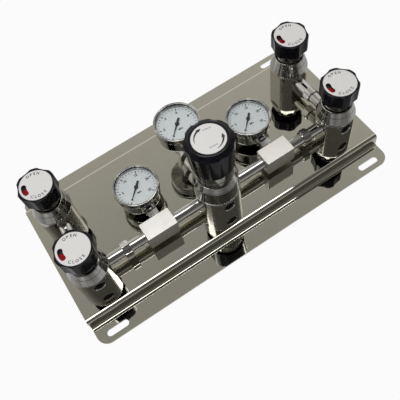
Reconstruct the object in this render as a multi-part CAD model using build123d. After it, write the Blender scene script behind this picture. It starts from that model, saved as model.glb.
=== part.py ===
from build123d import *
import os
from math import cos, degrees, radians, sin, sqrt

# Gas changeover manifold on a folded stainless back plate, in millimetres.
# Origin: centre of the wall plane, under the flanges. +X runs along the plate, +Z points away from
# the wall and +Y runs across it, from the open inlet ports towards the centre gauge.

# Back plate
plate_length = 400.0
panel_width = 168.0
panel_rise = 17.5
sheet = 2.0
flange_width = 26.0
bend_radius = 3.0
flange_corner_radius = 13.0
slot_length = 27.0
slot_width = 8.0
slot_end_distance = 25.0
slot_web_distance = 16.0

# Layout of the fittings on the panel
valve_end_distance = 33.0
front_row_y = -42.0
back_row_y = 47.5
left_block_x = -78.5
right_block_x = 81.0
port_height = 18.6
left_gauge_x = -75.5
right_gauge_x = 80.0
side_gauge_y = 11.5
centre_gauge_y = 34.3
side_gauge_height = 37.0
centre_gauge_height = 70.0

# Fits and small edges that many pieces share
running_clearance = 0.08
seat_clearance = 0.1
fine_bevel = 0.8
bevel = 1.2

# Pipe ends and their sockets
pipe_radius = 6.7
pipe_bore_radius = 3.5
socket_depth = 8.0
socket_clearance = 0.05
port_radius = 6.6
port_depth = 13.0
port_chamfer = 0.9
passage_radius = 2.5
nipple_hex_across = 16.5
nipple_hex_length = 9.5
hexagon_bevel_slope = 0.8

# Tee blocks
block_length = 37.2
block_side = 22.3
milled_edge = 0.6

# Valve body, bonnet and stem
valve_radius = 23.0
valve_flat = 21.0
valve_body_height = 33.0
valve_flat_height = 31.0
seat_bore_radius = 2.0
seat_rim_radius = 3.6
seat_rim_height = 1.5
seat_rim_width = 0.8
chamber_radius = 12.0
chamber_depth = 6.0
slanted_passage_radius = 1.8
passage_overlap = 1.0
collar_height = 18.0
collar_top_radius = 18.0
collar_step_height = 10.5
collar_step = 0.3
neck_radius = 14.3
spigot_length = 1.7
stem_radius = 4.0
stem_tip_radius = 5.2
stem_tip_height = 1.5
stem_lift = 1.0
stem_seat_gap = 0.05
stem_head_room = 0.2
hub_floor_gap = 0.1

# Valve handwheel with its label and indicator
handwheel_radius = 21.7
handwheel_height = 19.4
handwheel_gap = 13.0
handwheel_cavity_radius = 17.4
handwheel_edge = 0.6
scallop_count = 6
scallop_depth = 1.9
scallop_radius = 30.0
scallop_phase = 42.0
label_radius = 18.8
label_thickness = 0.7
label_sink = 0.2
top_wall = 2.0
hub_radius = 6.0
hub_length = 9.0
indicator_radius = 16.6
indicator_thickness = 1.2
indicator_gap = 0.5
window_radius = 13.1
window_width = 5.8
window_length = 14.4
window_angle = 176.0

# Pressure regulator
regulator_radius = 26.0
regulator_flat = 24.3
regulator_body_height = 34.0
regulator_flat_height = 31.5
diaphragm_radius = 22.5
diaphragm_thickness = 0.6
outlet_chamber_radius = 17.0
outlet_chamber_depth = 4.4
poppet_chamber_radius = 7.0
poppet_chamber_low = 6.0
seat_land_height = 3.6
poppet_radius = 5.4
poppet_length = 9.0
poppet_pin_radius = 1.1
bonnet_collar_radius = 25.4
bonnet_collar_height = 22.5
bonnet_shoulder = 6.0
bonnet_radius = 21.0
bonnet_wall = 3.6
bonnet_height = 62.0
bonnet_top_wall = 5.0
screw_radius = 5.0
screw_collar_radius = 8.5
screw_collar_height = 3.0
screw_below_collar = 30.0
button_thickness = 5.0
button_drop = 13.0
backing_radius = 14.0
backing_height = 3.0
guide_radius = 7.2
guide_height = 3.0
spring_wire_radius = 1.7
spring_coil_radius = 10.2
spring_turns = 5.0
spring_wire_sides = 8

# Regulator knob
knob_lift = 50.5
knob_height = 42.0
knob_low_radius = 23.6
knob_high_radius = 26.2
knob_top_radius = 20.6
knob_shoulder = 5.0
knob_wall = 2.2
knob_clearance = 0.8
knob_head_room = 2.0
knob_brow = 1.5
knob_top_wall = 4.0
knob_scallop_count = 8
knob_scallop_depth = 1.3
knob_scallop_radius = 14.0
knob_hub_radius = 9.0
knob_hub_length = 12.0
knob_label_radius = 18.5
knob_label_thickness = 0.8

# Pressure gauges
gauge_radius = 25.2
gauge_depth = 25.0
gauge_wall = 1.0
gauge_corner = 2.0
bezel_radius = 27.0
bezel_height = 7.5
bezel_lip = 2.4
bezel_top = 0.9
bezel_roll = 1.6
glass_thickness = 1.8
dial_sink = 6.0
dial_thickness = 0.8
pointer_gap = 1.2
pointer_thickness = 0.6
pointer_length = 17.5
pointer_tail = 8.0
pointer_hub_radius = 2.4
pointer_pin_radius = 0.7
pointer_tail_half_width = 1.3
pointer_half_width = 0.9
pointer_tip_half_width = 0.2
pointer_dome = 0.8
pointer_zero = 225.0
stem_square = 12.6
stem_square_length = 9.0
stem_shoulder_gap = 0.3
stem_neck_radius = 6.0
stem_boss_radius = 7.3
stem_boss_length = 4.5
gauge_hub_radius = 7.5

# Elbow and adapter that carry the centre gauge
elbow_radius = 11.5
elbow_arm_radius = 10.5
elbow_bead_radius = 12.1
elbow_bead_length = 3.5
elbow_reach = 15.5
adapter_hex_across = 20.0
adapter_hex_length = 9.0
adapter_hex_gap = 5.0
adapter_collar_radius = 11.0
adapter_collar_gap = 3.0

# Screws that hold the valves and the regulator to the panel from below
screw_shank_radius = 2.5
screw_hole_radius = 2.6
screw_head_radius = 4.25
screw_head_height = 2.8
screw_reach = 7.0
screw_socket_radius = 1.5
screw_socket_depth = 1.7
screw_hole_spare = 1.0
valve_screw_pitch = 20.0
regulator_screw_pitch = 28.0

# Places that follow from the driving dimensions
slot_pitch_x = plate_length - 2 * slot_end_distance
slot_pitch_y = panel_width + 2 * slot_web_distance
valve_x = plate_length / 2 - valve_end_distance
panel_top = panel_rise + sheet
port_z = panel_top + port_height
socket_radius = pipe_radius + socket_clearance
valve_seat_z = valve_body_height - chamber_depth + seat_rim_height
collar_top = valve_body_height + collar_height
handwheel_low = collar_top + handwheel_gap
handwheel_top = handwheel_low + handwheel_height
label_floor = handwheel_top - label_sink - label_thickness
cavity_top = label_floor - top_wall
indicator_top = cavity_top - indicator_gap
neck_top = indicator_top - indicator_thickness
chamber_floor = regulator_body_height - diaphragm_thickness - outlet_chamber_depth
poppet_chamber_top = chamber_floor - seat_land_height
bonnet_top = regulator_body_height + bonnet_height
screw_collar_top = bonnet_top - bonnet_top_wall - seat_clearance
button_top = screw_collar_top - screw_collar_height - button_drop
spring_low = regulator_body_height + backing_height
spring_high = button_top - button_thickness
knob_low = regulator_body_height + knob_lift
knob_top = knob_low + knob_height
elbow_top = port_height + elbow_reach
regulator_back_y = front_row_y + regulator_flat
block_back_y = front_row_y + block_side / 2
up = (0, 0, 1)


def turned(*points):
    """A body of revolution about the vertical axis, from (radius, height) corners."""
    outline = make_face(Polyline(*points, close=True))
    return revolve(Plane.XZ * outline, Axis.Z)


def upright(radius, low, high):
    """A vertical cylinder between two heights."""
    return Pos(0, 0, low) * extrude(Circle(radius), high - low)


def direction(start, end):
    """The vector from one point to another."""
    return Vector(*end) - Vector(*start)


def rod(start, end, radius):
    """A round bar between two points."""
    run = direction(start, end)
    return extrude(Plane(origin=start, z_dir=run) * Circle(radius), run.length, dir=run.normalized())


def hexagon_bar(start, end, across):
    """A hexagonal bar between two points, with two of its flats level."""
    run = direction(start, end)
    section = Plane(origin=start, x_dir=up, z_dir=run) * RegularPolygon(across / 2, 6, major_radius=False)
    bar = extrude(section, run.length, dir=run.normalized())
    corner_radius = across / sqrt(3)
    trim = corner_radius - across / 2
    turned_bar = rod(start, end, corner_radius)
    return bar & chamfer(turned_bar.edges(), trim * hexagon_bevel_slope, trim)


def outward(side, distance, height=port_height):
    """A point on a port axis, where side is the (x, y) way that the port faces."""
    return (side[0] * distance, side[1] * distance, height)


def port_cut(side, face, radius, depth, inner):
    """A threaded port or pipe socket in a flat, with the passage behind it."""
    hole = rod(outward(side, face - depth), outward(side, face), radius)
    run = Vector(side[0], side[1], 0)
    countersink = Plane(origin=outward(side, face - port_chamfer), z_dir=run) * Pos(0, 0, port_chamfer / 2)
    cone = countersink * Cone(radius, radius + port_chamfer, port_chamfer)
    if inner >= face - depth:
        return hole + cone
    return hole + cone + rod(outward(side, inner), outward(side, face - depth / 2), passage_radius)


def milled_round(radius, flat, height, flat_height):
    """Round bar with four milled flats that stop short of its top."""
    bar = upright(radius, 0, height)
    bar = chamfer(bar.edges(), milled_edge)
    square = Pos(0, 0, flat_height / 2) * Box(2 * flat, 2 * flat, flat_height)
    cap = upright(radius, flat_height, height)
    return bar & (square + cap)


def screw_places(pitch):
    """Where a pair of panel screws enters a fitting, from the fitting's own axis."""
    return [Pos(side * pitch / 2, 0, 0) for side in (-1, 1)]


def back_plate():
    """Folded sheet: a raised panel between two flanges, with slots for the wall screws."""
    web_out = panel_width / 2
    web_in = web_out - sheet
    edge = web_out + flange_width
    half = [(edge, 0), (edge, sheet), (web_out, sheet), (web_out, panel_top)]
    under = [(web_in, panel_rise), (web_in, 0)]
    top = half + [(-y, z) for y, z in reversed(half)]
    bottom = [(-y, z) for y, z in reversed(under)] + under
    section = make_face(Polyline(*top, *bottom, close=True))
    inner = [(web_out, sheet), (web_in, panel_rise)]
    outer = [(web_out, panel_top), (web_in, 0)]
    for corners, radius in ((inner, bend_radius), (outer, bend_radius + sheet)):
        places = [Vector(side * y, z, 0) for y, z in corners for side in (-1, 1)]
        picked = [v for v in section.vertices() if any((Vector(v) - p).length < sheet / 2 for p in places)]
        section = fillet(picked, radius)
    plate = extrude(Plane.YZ * section, plate_length / 2, both=True)
    rim = [e for e in plate.edges().filter_by(Axis.Z) if abs(e.center().Y) > web_out + bend_radius]
    plate = fillet(rim, flange_corner_radius)
    slot = extrude(SlotOverall(slot_length, slot_width), sheet)
    for spot in GridLocations(slot_pitch_x, slot_pitch_y, 2, 2):
        plate -= spot * slot
    for place, pitch in fastened_places():
        for spot in screw_places(pitch):
            plate -= place * spot * upright(screw_hole_radius, -sheet, 0)
    return plate


def fastened_places():
    """Each fitting that stands on the panel, with the pitch of its two screws."""
    valves = [(Pos(x, y, panel_top), valve_screw_pitch) for x, y in valve_places().values()]
    return valves + [(Pos(0, front_row_y, panel_top), regulator_screw_pitch)]


def valve_places():
    """The axis of each valve, by the name of its corner."""
    return {
        "left_inlet": (-valve_x, front_row_y),
        "right_inlet": (valve_x, front_row_y),
        "left_vent": (-valve_x, back_row_y),
        "right_vent": (valve_x, back_row_y),
    }


def panel_screws():
    """Socket screws that come up through the panel, as one group of separate screws."""
    head = Pos(0, 0, -sheet) * upright(screw_head_radius, -screw_head_height, 0)
    head = chamfer(head.edges().sort_by(Axis.Z)[:1], fine_bevel)
    shank = upright(screw_shank_radius, -sheet, screw_reach)
    hexagon = RegularPolygon(screw_socket_radius, 6)
    socket = Pos(0, 0, -sheet - screw_head_height) * extrude(hexagon, screw_socket_depth)
    screw = head + shank - socket
    group = []
    for place, pitch in fastened_places():
        group += [place * spot * screw for spot in screw_places(pitch)]
    return Compound(children=group)


def screw_holes(pitch):
    """Blind holes in a fitting's foot for the panel screws."""
    hole = upright(screw_hole_radius, 0, screw_reach + screw_hole_spare)
    holes = [spot * hole for spot in screw_places(pitch)]
    return holes[0] + holes[1]


def valve_body(sockets, open_side):
    """Milled round body with its ports, seat and chamber. Sockets hold pipes; one port is open."""
    body = milled_round(valve_radius, valve_flat, valve_body_height, valve_flat_height)
    chamber_low = valve_body_height - chamber_depth
    chamber = turned(
        (seat_rim_radius, chamber_low),
        (chamber_radius, chamber_low),
        (chamber_radius, valve_body_height),
        (0, valve_body_height),
        (0, valve_seat_z),
        (seat_rim_radius - seat_rim_width, valve_seat_z),
    )
    body -= chamber
    body -= upright(seat_bore_radius, port_height, valve_seat_z)
    body -= port_cut(open_side, valve_flat, port_radius, port_depth, 0)
    for side in sockets:
        inner = valve_flat if side[0] else 0
        body -= port_cut(side, valve_flat, socket_radius, socket_depth, inner)
        if side[0]:
            low = outward(side, valve_flat - socket_depth - passage_overlap)
            high = outward(side, chamber_radius - 2 * slanted_passage_radius, chamber_low + passage_overlap)
            body -= rod(low, high, slanted_passage_radius)
    return body - screw_holes(valve_screw_pitch)


def valve_bonnet():
    """Stepped cone that closes the chamber, with the tall neck that guides the stem and its handwheel."""
    top = neck_top
    step_z = valve_body_height + collar_step_height
    taper = (valve_radius - collar_top_radius) / collar_height
    step_radius = valve_radius - taper * collar_step_height - collar_step
    hub_bore = hub_radius + running_clearance
    bore = stem_radius + running_clearance
    hub_floor = cavity_top - hub_length - hub_floor_gap
    return turned(
        (bore, valve_body_height - spigot_length),
        (chamber_radius - seat_clearance, valve_body_height - spigot_length),
        (chamber_radius - seat_clearance, valve_body_height),
        (valve_radius - fine_bevel, valve_body_height),
        (valve_radius, valve_body_height + fine_bevel),
        (step_radius + collar_step, step_z),
        (step_radius, step_z),
        (collar_top_radius, collar_top - fine_bevel),
        (collar_top_radius - fine_bevel, collar_top),
        (neck_radius + bevel, collar_top),
        (neck_radius, collar_top + bevel),
        (neck_radius, top),
        (hub_bore, top),
        (hub_bore, hub_floor),
        (bore, hub_floor),
    )


def valve_stem():
    """Sliding stem with the disc that closes the seat, here in its closed place."""
    low = valve_seat_z + stem_seat_gap
    top = cavity_top - stem_lift - stem_head_room
    return turned(
        (0, low),
        (stem_tip_radius - fine_bevel, low),
        (stem_tip_radius, low + fine_bevel),
        (stem_tip_radius, low + stem_tip_height),
        (stem_radius, low + stem_tip_height),
        (stem_radius, top - fine_bevel),
        (stem_radius - fine_bevel, top),
        (0, top),
    )


def lobed_outline(radius, count, depth, cutter_radius, phase):
    """Circle with equal shallow scallops and rounded lobes between them."""
    outline = Circle(radius)
    reach = radius + cutter_radius - depth
    for i in range(count):
        angle = radians(phase + 360 / count * i)
        outline -= Pos(reach * cos(angle), reach * sin(angle)) * Circle(cutter_radius)
    return fillet(outline.vertices(), depth)


def window_cut():
    """The curved window through the label and the handwheel's top."""
    half_sweep = degrees((window_length - window_width) / 2 / window_radius)
    arc = CenterArc((0, 0), window_radius, window_angle - half_sweep, 2 * half_sweep)
    strip = SlotArc(arc, window_width)
    return Pos(0, 0, cavity_top - top_wall) * extrude(strip, handwheel_top - cavity_top + 2 * top_wall)


def valve_handwheel():
    """Scalloped hollow handwheel with a recess for its label and a hub on the stem."""
    outline = lobed_outline(handwheel_radius, scallop_count, scallop_depth, scallop_radius, scallop_phase)
    wheel = Pos(0, 0, handwheel_low) * extrude(outline, handwheel_height)
    rims = wheel.edges().group_by(Axis.Z)
    wheel = chamfer(rims[0] + rims[-1], handwheel_edge)
    wheel -= upright(handwheel_cavity_radius, handwheel_low, cavity_top)
    wheel -= upright(label_radius + running_clearance, label_floor, handwheel_top)
    wheel += upright(hub_radius, cavity_top - hub_length, cavity_top)
    wheel -= upright(stem_radius + running_clearance, cavity_top - hub_length, cavity_top)
    return wheel - window_cut()


def valve_label():
    """Label disc in the handwheel's recess, with the indicator window."""
    return upright(label_radius, label_floor, label_floor + label_thickness) - window_cut()


def valve_indicator():
    """Coloured disc that stays still on the neck and shows through the turning window."""
    disc = upright(indicator_radius, neck_top, indicator_top)
    return disc - upright(hub_radius + running_clearance, neck_top, indicator_top)


def tee_block(gauge_offset):
    """Square bar with a run along it and a gauge port in its back."""
    block = Pos(0, 0, port_height) * Box(block_length, block_side, block_side)
    block = chamfer(block.edges(), milled_edge)
    for side in ((-1, 0), (1, 0)):
        block -= port_cut(side, block_length / 2, socket_radius, socket_depth, 0)
    back = Pos(gauge_offset, 0, 0) * port_cut((0, 1), block_side / 2, socket_radius, socket_depth, 0)
    return block - back


def row_run(one_x, other_x):
    """The two ends of a pipe that lies along the front row, from the lower x to the higher."""
    return [(x, front_row_y, port_z) for x in sorted((one_x, other_x))]


def seated_ends(start, end):
    """Where a pipe between two flats ends, inside the socket in each flat."""
    seat = direction(start, end).normalized() * (socket_depth - seat_clearance)
    return Vector(*start) - seat, Vector(*end) + seat


def hex_nipple(start, end):
    """Pipe nipple with a hexagon in its middle, seated in a socket at each end."""
    middle = (Vector(*start) + Vector(*end)) / 2
    half_hex = direction(start, end).normalized() * (nipple_hex_length / 2)
    first, last = seated_ends(start, end)
    hexagon = hexagon_bar(middle - half_hex, middle + half_hex, nipple_hex_across)
    return rod(first, last, pipe_radius) + hexagon - rod(first, last, pipe_bore_radius)


def link_pipe(start, end):
    """Plain pipe seated in a socket at each end."""
    first, last = seated_ends(start, end)
    return rod(first, last, pipe_radius) - rod(first, last, pipe_bore_radius)


def regulator_body():
    """Milled round body: the inlet chamber and poppet seat below, the outlet chamber above."""
    top = regulator_body_height
    body = milled_round(regulator_radius, regulator_flat, top, regulator_flat_height)
    body -= upright(diaphragm_radius + seat_clearance, top - diaphragm_thickness, top)
    body -= upright(outlet_chamber_radius, chamber_floor, top)
    body -= upright(poppet_chamber_radius, poppet_chamber_low, poppet_chamber_top)
    body -= upright(seat_bore_radius, poppet_chamber_low, chamber_floor)
    for side in ((-1, 0), (1, 0)):
        body -= port_cut(side, regulator_flat, socket_radius, socket_depth, 0)
    body -= port_cut((0, -1), regulator_flat, port_radius, port_depth, regulator_flat)
    body -= port_cut((0, 1), regulator_flat, socket_radius, socket_depth, regulator_flat)
    for side in ((0, -1), (0, 1)):
        low = outward(side, regulator_flat - socket_depth, port_height)
        reach = outlet_chamber_radius - 2 * slanted_passage_radius
        high = outward(side, reach, chamber_floor + passage_overlap)
        body -= rod(low, high, slanted_passage_radius)
    return body - screw_holes(regulator_screw_pitch)


def regulator_diaphragm():
    """Thin disc clamped at its rim, with the backing plate that the spring stands on."""
    low = regulator_body_height - diaphragm_thickness
    plate_top = regulator_body_height + backing_height
    return turned(
        (0, low),
        (diaphragm_radius, low),
        (diaphragm_radius, regulator_body_height),
        (backing_radius, regulator_body_height),
        (backing_radius, plate_top),
        (guide_radius, plate_top),
        (guide_radius, plate_top + guide_height),
        (0, plate_top + guide_height),
    )


def regulator_poppet():
    """Cone-nosed poppet under the seat, with the pin that the diaphragm pushes."""
    nose = poppet_radius - seat_bore_radius
    shoulder = poppet_chamber_top - seat_clearance - nose
    pin_top = regulator_body_height - diaphragm_thickness - seat_clearance
    return turned(
        (0, shoulder - poppet_length),
        (poppet_radius - fine_bevel, shoulder - poppet_length),
        (poppet_radius, shoulder - poppet_length + fine_bevel),
        (poppet_radius, shoulder),
        (seat_bore_radius, shoulder + nose),
        (poppet_pin_radius, shoulder + nose),
        (poppet_pin_radius, pin_top),
        (0, pin_top),
    )


def regulator_bonnet():
    """Sloping collar and tall tube over the range spring, closed above by the screw's bearing wall."""
    low = regulator_body_height
    collar = low + bonnet_collar_height
    inside = bonnet_radius - bonnet_wall
    ceiling = bonnet_top - bonnet_top_wall
    bore = screw_radius + running_clearance
    return turned(
        (inside, low),
        (bonnet_collar_radius - fine_bevel, low),
        (bonnet_collar_radius, low + fine_bevel),
        (bonnet_collar_radius, collar - fine_bevel),
        (bonnet_collar_radius - fine_bevel, collar),
        (bonnet_radius + fine_bevel, collar + bonnet_shoulder),
        (bonnet_radius, collar + bonnet_shoulder),
        (bonnet_radius, bonnet_top - bevel),
        (bonnet_radius - bevel, bonnet_top),
        (bore, bonnet_top),
        (bore, ceiling),
        (inside, ceiling),
    )


def regulator_screw():
    """Adjusting screw that turns with the knob, held by its collar under the bonnet's top."""
    collar_low = screw_collar_top - screw_collar_height
    low = collar_low - screw_below_collar
    top = knob_top - knob_top_wall - knob_label_thickness - seat_clearance
    return turned(
        (0, low),
        (screw_radius - bevel, low),
        (screw_radius, low + bevel),
        (screw_radius, collar_low),
        (screw_collar_radius, collar_low),
        (screw_collar_radius, screw_collar_top),
        (screw_radius, screw_collar_top),
        (screw_radius, top),
        (0, top),
    )


def regulator_button():
    """Spring button that the turning screw drives down the bonnet."""
    outside = bonnet_radius - bonnet_wall - seat_clearance
    bore = screw_radius + running_clearance
    low = button_top - button_thickness
    return turned(
        (bore, low),
        (outside, low),
        (outside, button_top - bevel),
        (outside - bevel, button_top),
        (bore, button_top),
    )


def regulator_spring():
    """Range spring between the backing plate and the spring button."""
    low = spring_low + spring_wire_radius + seat_clearance
    high = spring_high - spring_wire_radius - seat_clearance
    pitch = (high - low) / spring_turns
    path = Pos(0, 0, low) * Helix(pitch, high - low, spring_coil_radius)
    section = Plane(origin=path @ 0, z_dir=path % 0) * RegularPolygon(spring_wire_radius, spring_wire_sides)
    return sweep(section, path, is_frenet=True)


def knob_outline(radius):
    """The knob's scalloped outline at one height."""
    return lobed_outline(radius, knob_scallop_count, knob_scallop_depth, knob_scallop_radius, 0)


def regulator_knob():
    """Tall tapered knob over the bonnet, with a sloping shoulder round its label."""
    shoulder_z = knob_top - knob_shoulder
    ceiling = knob_top - knob_label_thickness - knob_top_wall
    crown = Pos(0, 0, shoulder_z) * knob_outline(knob_high_radius)
    knob = loft([Pos(0, 0, knob_low) * knob_outline(knob_low_radius), crown])
    slope = turned(
        (0, shoulder_z),
        (knob_high_radius, shoulder_z),
        (knob_high_radius, shoulder_z + knob_brow),
        (knob_top_radius, knob_top),
        (0, knob_top),
    )
    knob += slope & extrude(crown, knob_shoulder, dir=up)
    knob -= upright(bonnet_radius + knob_clearance, knob_low, bonnet_top + knob_head_room)
    knob -= upright(knob_top_radius - knob_wall, bonnet_top, ceiling)
    knob += upright(knob_hub_radius, ceiling - knob_hub_length, ceiling)
    knob -= upright(screw_radius + socket_clearance, ceiling - knob_hub_length, ceiling)
    return knob - upright(knob_label_radius + running_clearance, knob_top - knob_label_thickness, knob_top)


def regulator_label():
    """Label disc in the knob's top."""
    return upright(knob_label_radius, knob_top - knob_label_thickness, knob_top)


def gauge_case(top):
    """Deep drawn cup with a solid hub at its back for the connection."""
    low = top - gauge_depth
    rim = top - bezel_top - glass_thickness
    hub_top = top - dial_sink - dial_thickness - seat_clearance
    return turned(
        (0, low),
        (gauge_radius - gauge_corner, low),
        (gauge_radius - gauge_corner / 3, low + gauge_corner / 3),
        (gauge_radius, low + gauge_corner),
        (gauge_radius, rim),
        (gauge_radius - gauge_wall, rim),
        (gauge_radius - gauge_wall, low + gauge_wall),
        (gauge_hub_radius, low + gauge_wall),
        (gauge_hub_radius, hub_top),
        (0, hub_top),
    )


def radial_stem(reach):
    """Square wrench stem and threaded end that leave the case towards -Y, at the port height."""
    square_start = gauge_radius + stem_boss_length
    square_end = square_start + stem_square_length
    front = (0, -1)
    neck = rod(outward(front, 0), outward(front, square_start), stem_neck_radius)
    boss = rod(outward(front, gauge_radius - gauge_corner), outward(front, square_start), stem_boss_radius)
    square = chamfer(Box(stem_square, stem_square_length, stem_square).edges(), fine_bevel)
    square = Pos(*outward(front, (square_start + square_end) / 2)) * square
    thread = rod(outward(front, square_end), outward(front, reach), pipe_radius)
    return neck + boss + square + thread


def side_gauge_case():
    """Case of a side gauge, with its stem reaching into the tee block."""
    reach = side_gauge_y - block_back_y + socket_depth - seat_clearance
    return gauge_case(side_gauge_height) + radial_stem(reach)


def centre_gauge_case():
    """Case of the centre gauge, with its stem standing in the elbow."""
    low = centre_gauge_height - gauge_depth
    square_length = low - elbow_top - 2 * stem_shoulder_gap
    square = chamfer(Box(stem_square, stem_square, square_length).edges(), fine_bevel)
    square = Pos(0, 0, (low + elbow_top) / 2) * square
    neck = upright(stem_neck_radius, elbow_top, low + gauge_wall)
    thread = upright(pipe_radius, elbow_top - socket_depth + seat_clearance, elbow_top + stem_shoulder_gap)
    return gauge_case(centre_gauge_height) + square + neck + thread


def gauge_bezel(top):
    """Rolled ring round the case that holds the glass down."""
    inside = gauge_radius + socket_clearance
    return turned(
        (inside, top - bezel_height),
        (bezel_radius - bezel_roll / 4, top - bezel_height),
        (bezel_radius, top - bezel_height + bezel_roll / 4),
        (bezel_radius, top - bezel_roll),
        (bezel_radius - bezel_roll / 2, top - bezel_roll / 6),
        (bezel_radius - bezel_roll, top),
        (bezel_radius - bezel_lip, top - bezel_top / 2),
        (bezel_radius - bezel_lip, top - bezel_top),
        (inside, top - bezel_top),
    )


def gauge_glass(top):
    """Clear window that rests on the case rim, under the bezel."""
    high = top - bezel_top
    return upright(gauge_radius, high - glass_thickness, high)


def gauge_dial(top):
    """Dial plate on the case's hub, with the hole for the pointer's pin."""
    high = top - dial_sink
    plate = upright(gauge_radius - gauge_wall - seat_clearance, high - dial_thickness, high)
    return plate - upright(pointer_pin_radius + running_clearance, high - dial_thickness, high)


def gauge_pointer(top):
    """Tapered pointer with a broad tail and a domed hub on its pin, lying at zero."""
    dial_top = top - dial_sink
    low = dial_top + pointer_gap
    high = low + pointer_thickness
    tail = [(-pointer_tail, pointer_tail_half_width), (0, pointer_tail_half_width)]
    half = tail + [(0, pointer_half_width), (pointer_length, pointer_tip_half_width)]
    outline = half + [(x, -y) for x, y in reversed(half)]
    blade = Pos(0, 0, low) * extrude(make_face(Polyline(*outline, close=True)), pointer_thickness)
    hub = turned(
        (0, dial_top - dial_thickness),
        (pointer_pin_radius, dial_top - dial_thickness),
        (pointer_pin_radius, low),
        (pointer_hub_radius, low),
        (pointer_hub_radius, high),
        (pointer_hub_radius - pointer_dome, high + pointer_dome),
        (0, high + pointer_dome),
    )
    return Rot(0, 0, pointer_zero) * blade + hub


def gauge_elbow():
    """Forged elbow: a level socket towards the regulator and an upright one for the gauge."""
    front = (0, -1)
    centre = outward(front, 0)
    mouth = outward(front, elbow_reach)
    elbow = Pos(*centre) * Sphere(elbow_radius)
    elbow += rod(centre, mouth, elbow_arm_radius)
    elbow += upright(elbow_arm_radius, port_height, elbow_top)
    elbow += rod(outward(front, elbow_reach - elbow_bead_length), mouth, elbow_bead_radius)
    elbow += upright(elbow_bead_radius, elbow_top - elbow_bead_length, elbow_top)
    elbow -= rod(outward(front, elbow_reach - socket_depth), mouth, socket_radius)
    elbow -= upright(socket_radius, elbow_top - socket_depth, elbow_top)
    elbow -= rod(centre, mouth, passage_radius)
    return elbow - upright(passage_radius, port_height, elbow_top)


def gauge_adapter():
    """Hexagon adapter between the regulator's gauge port and the elbow."""
    elbow_face = centre_gauge_y - elbow_reach
    hex_high = elbow_face - adapter_hex_gap
    hex_low = hex_high - adapter_hex_length
    back = (0, 1)
    first = outward(back, regulator_back_y - socket_depth + seat_clearance)
    last = outward(back, elbow_face + socket_depth - seat_clearance)
    collar_start = outward(back, regulator_back_y + adapter_collar_gap)
    adapter = rod(first, last, pipe_radius)
    adapter += hexagon_bar(outward(back, hex_low), outward(back, hex_high), adapter_hex_across)
    adapter += rod(collar_start, outward(back, hex_low), adapter_collar_radius)
    return adapter - rod(first, last, pipe_bore_radius)


def build_parts():
    """Every named piece in its place on the plate."""
    on_panel = Pos(0, 0, panel_top)
    parts = {"backplate": back_plate(), "panel_screws": panel_screws()}

    for corner, (x, y) in valve_places().items():
        place = Pos(x, y, panel_top)
        inward = (-1, 0) if x > 0 else (1, 0)
        inlet = corner.endswith("inlet")
        sockets = [inward, (0, 1)] if inlet else [(0, -1)]
        open_side = (0, -1) if inlet else (0, 1)
        pieces = {
            "body": valve_body(sockets, open_side),
            "bonnet": valve_bonnet(),
            "stem": valve_stem(),
            "indicator": valve_indicator(),
            "handwheel": valve_handwheel(),
            "label": valve_label(),
        }
        for piece, solid in pieces.items():
            parts[f"{corner}_valve_{piece}"] = place * solid

    blocks = {"left": (left_block_x, left_gauge_x), "right": (right_block_x, right_gauge_x)}
    for name, (x, gauge_x) in blocks.items():
        side = -1 if name == "left" else 1
        parts[f"{name}_tee_block"] = Pos(x, front_row_y, panel_top) * tee_block(gauge_x - x)
        outer_run = row_run(x + side * block_length / 2, side * (valve_x - valve_flat))
        parts[f"{name}_inlet_nipple"] = hex_nipple(*outer_run)
        inner_run = row_run(x - side * block_length / 2, side * regulator_flat)
        parts[f"{name}_link_pipe"] = link_pipe(*inner_run)
        start = (side * valve_x, front_row_y + valve_flat, port_z)
        end = (side * valve_x, back_row_y - valve_flat, port_z)
        parts[f"{name}_vent_nipple"] = hex_nipple(start, end)

    regulator = {
        "body": regulator_body(),
        "diaphragm": regulator_diaphragm(),
        "poppet": regulator_poppet(),
        "bonnet": regulator_bonnet(),
        "spring": regulator_spring(),
        "spring_button": regulator_button(),
        "adjusting_screw": regulator_screw(),
        "knob": regulator_knob(),
        "label": regulator_label(),
    }
    for piece, solid in regulator.items():
        parts[f"regulator_{piece}"] = Pos(0, front_row_y, panel_top) * solid

    gauges = {
        "left": (left_gauge_x, side_gauge_y, side_gauge_height, side_gauge_case),
        "centre": (0, centre_gauge_y, centre_gauge_height, centre_gauge_case),
        "right": (right_gauge_x, side_gauge_y, side_gauge_height, side_gauge_case),
    }
    for name, (x, y, top, case) in gauges.items():
        place = Pos(x, y, panel_top)
        parts[f"{name}_gauge_case"] = place * case()
        parts[f"{name}_gauge_bezel"] = place * gauge_bezel(top)
        parts[f"{name}_gauge_glass"] = place * gauge_glass(top)
        parts[f"{name}_gauge_dial"] = place * gauge_dial(top)
        parts[f"{name}_gauge_pointer"] = place * gauge_pointer(top)
    parts["gauge_elbow"] = Pos(0, centre_gauge_y, panel_top) * gauge_elbow()
    parts["gauge_adapter"] = on_panel * gauge_adapter()
    return parts


os.makedirs("parts", exist_ok=True)
for node, shape in build_parts().items():
    export_step(shape, f"parts/{node}.step")
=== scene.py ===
from collections import namedtuple
from math import atan2, cos, pi, radians, sin, sqrt

import bmesh
import bpy
from bpy.props import FloatProperty, FloatVectorProperty, IntProperty, PointerProperty, StringProperty
from mathutils import Matrix, Vector


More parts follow.
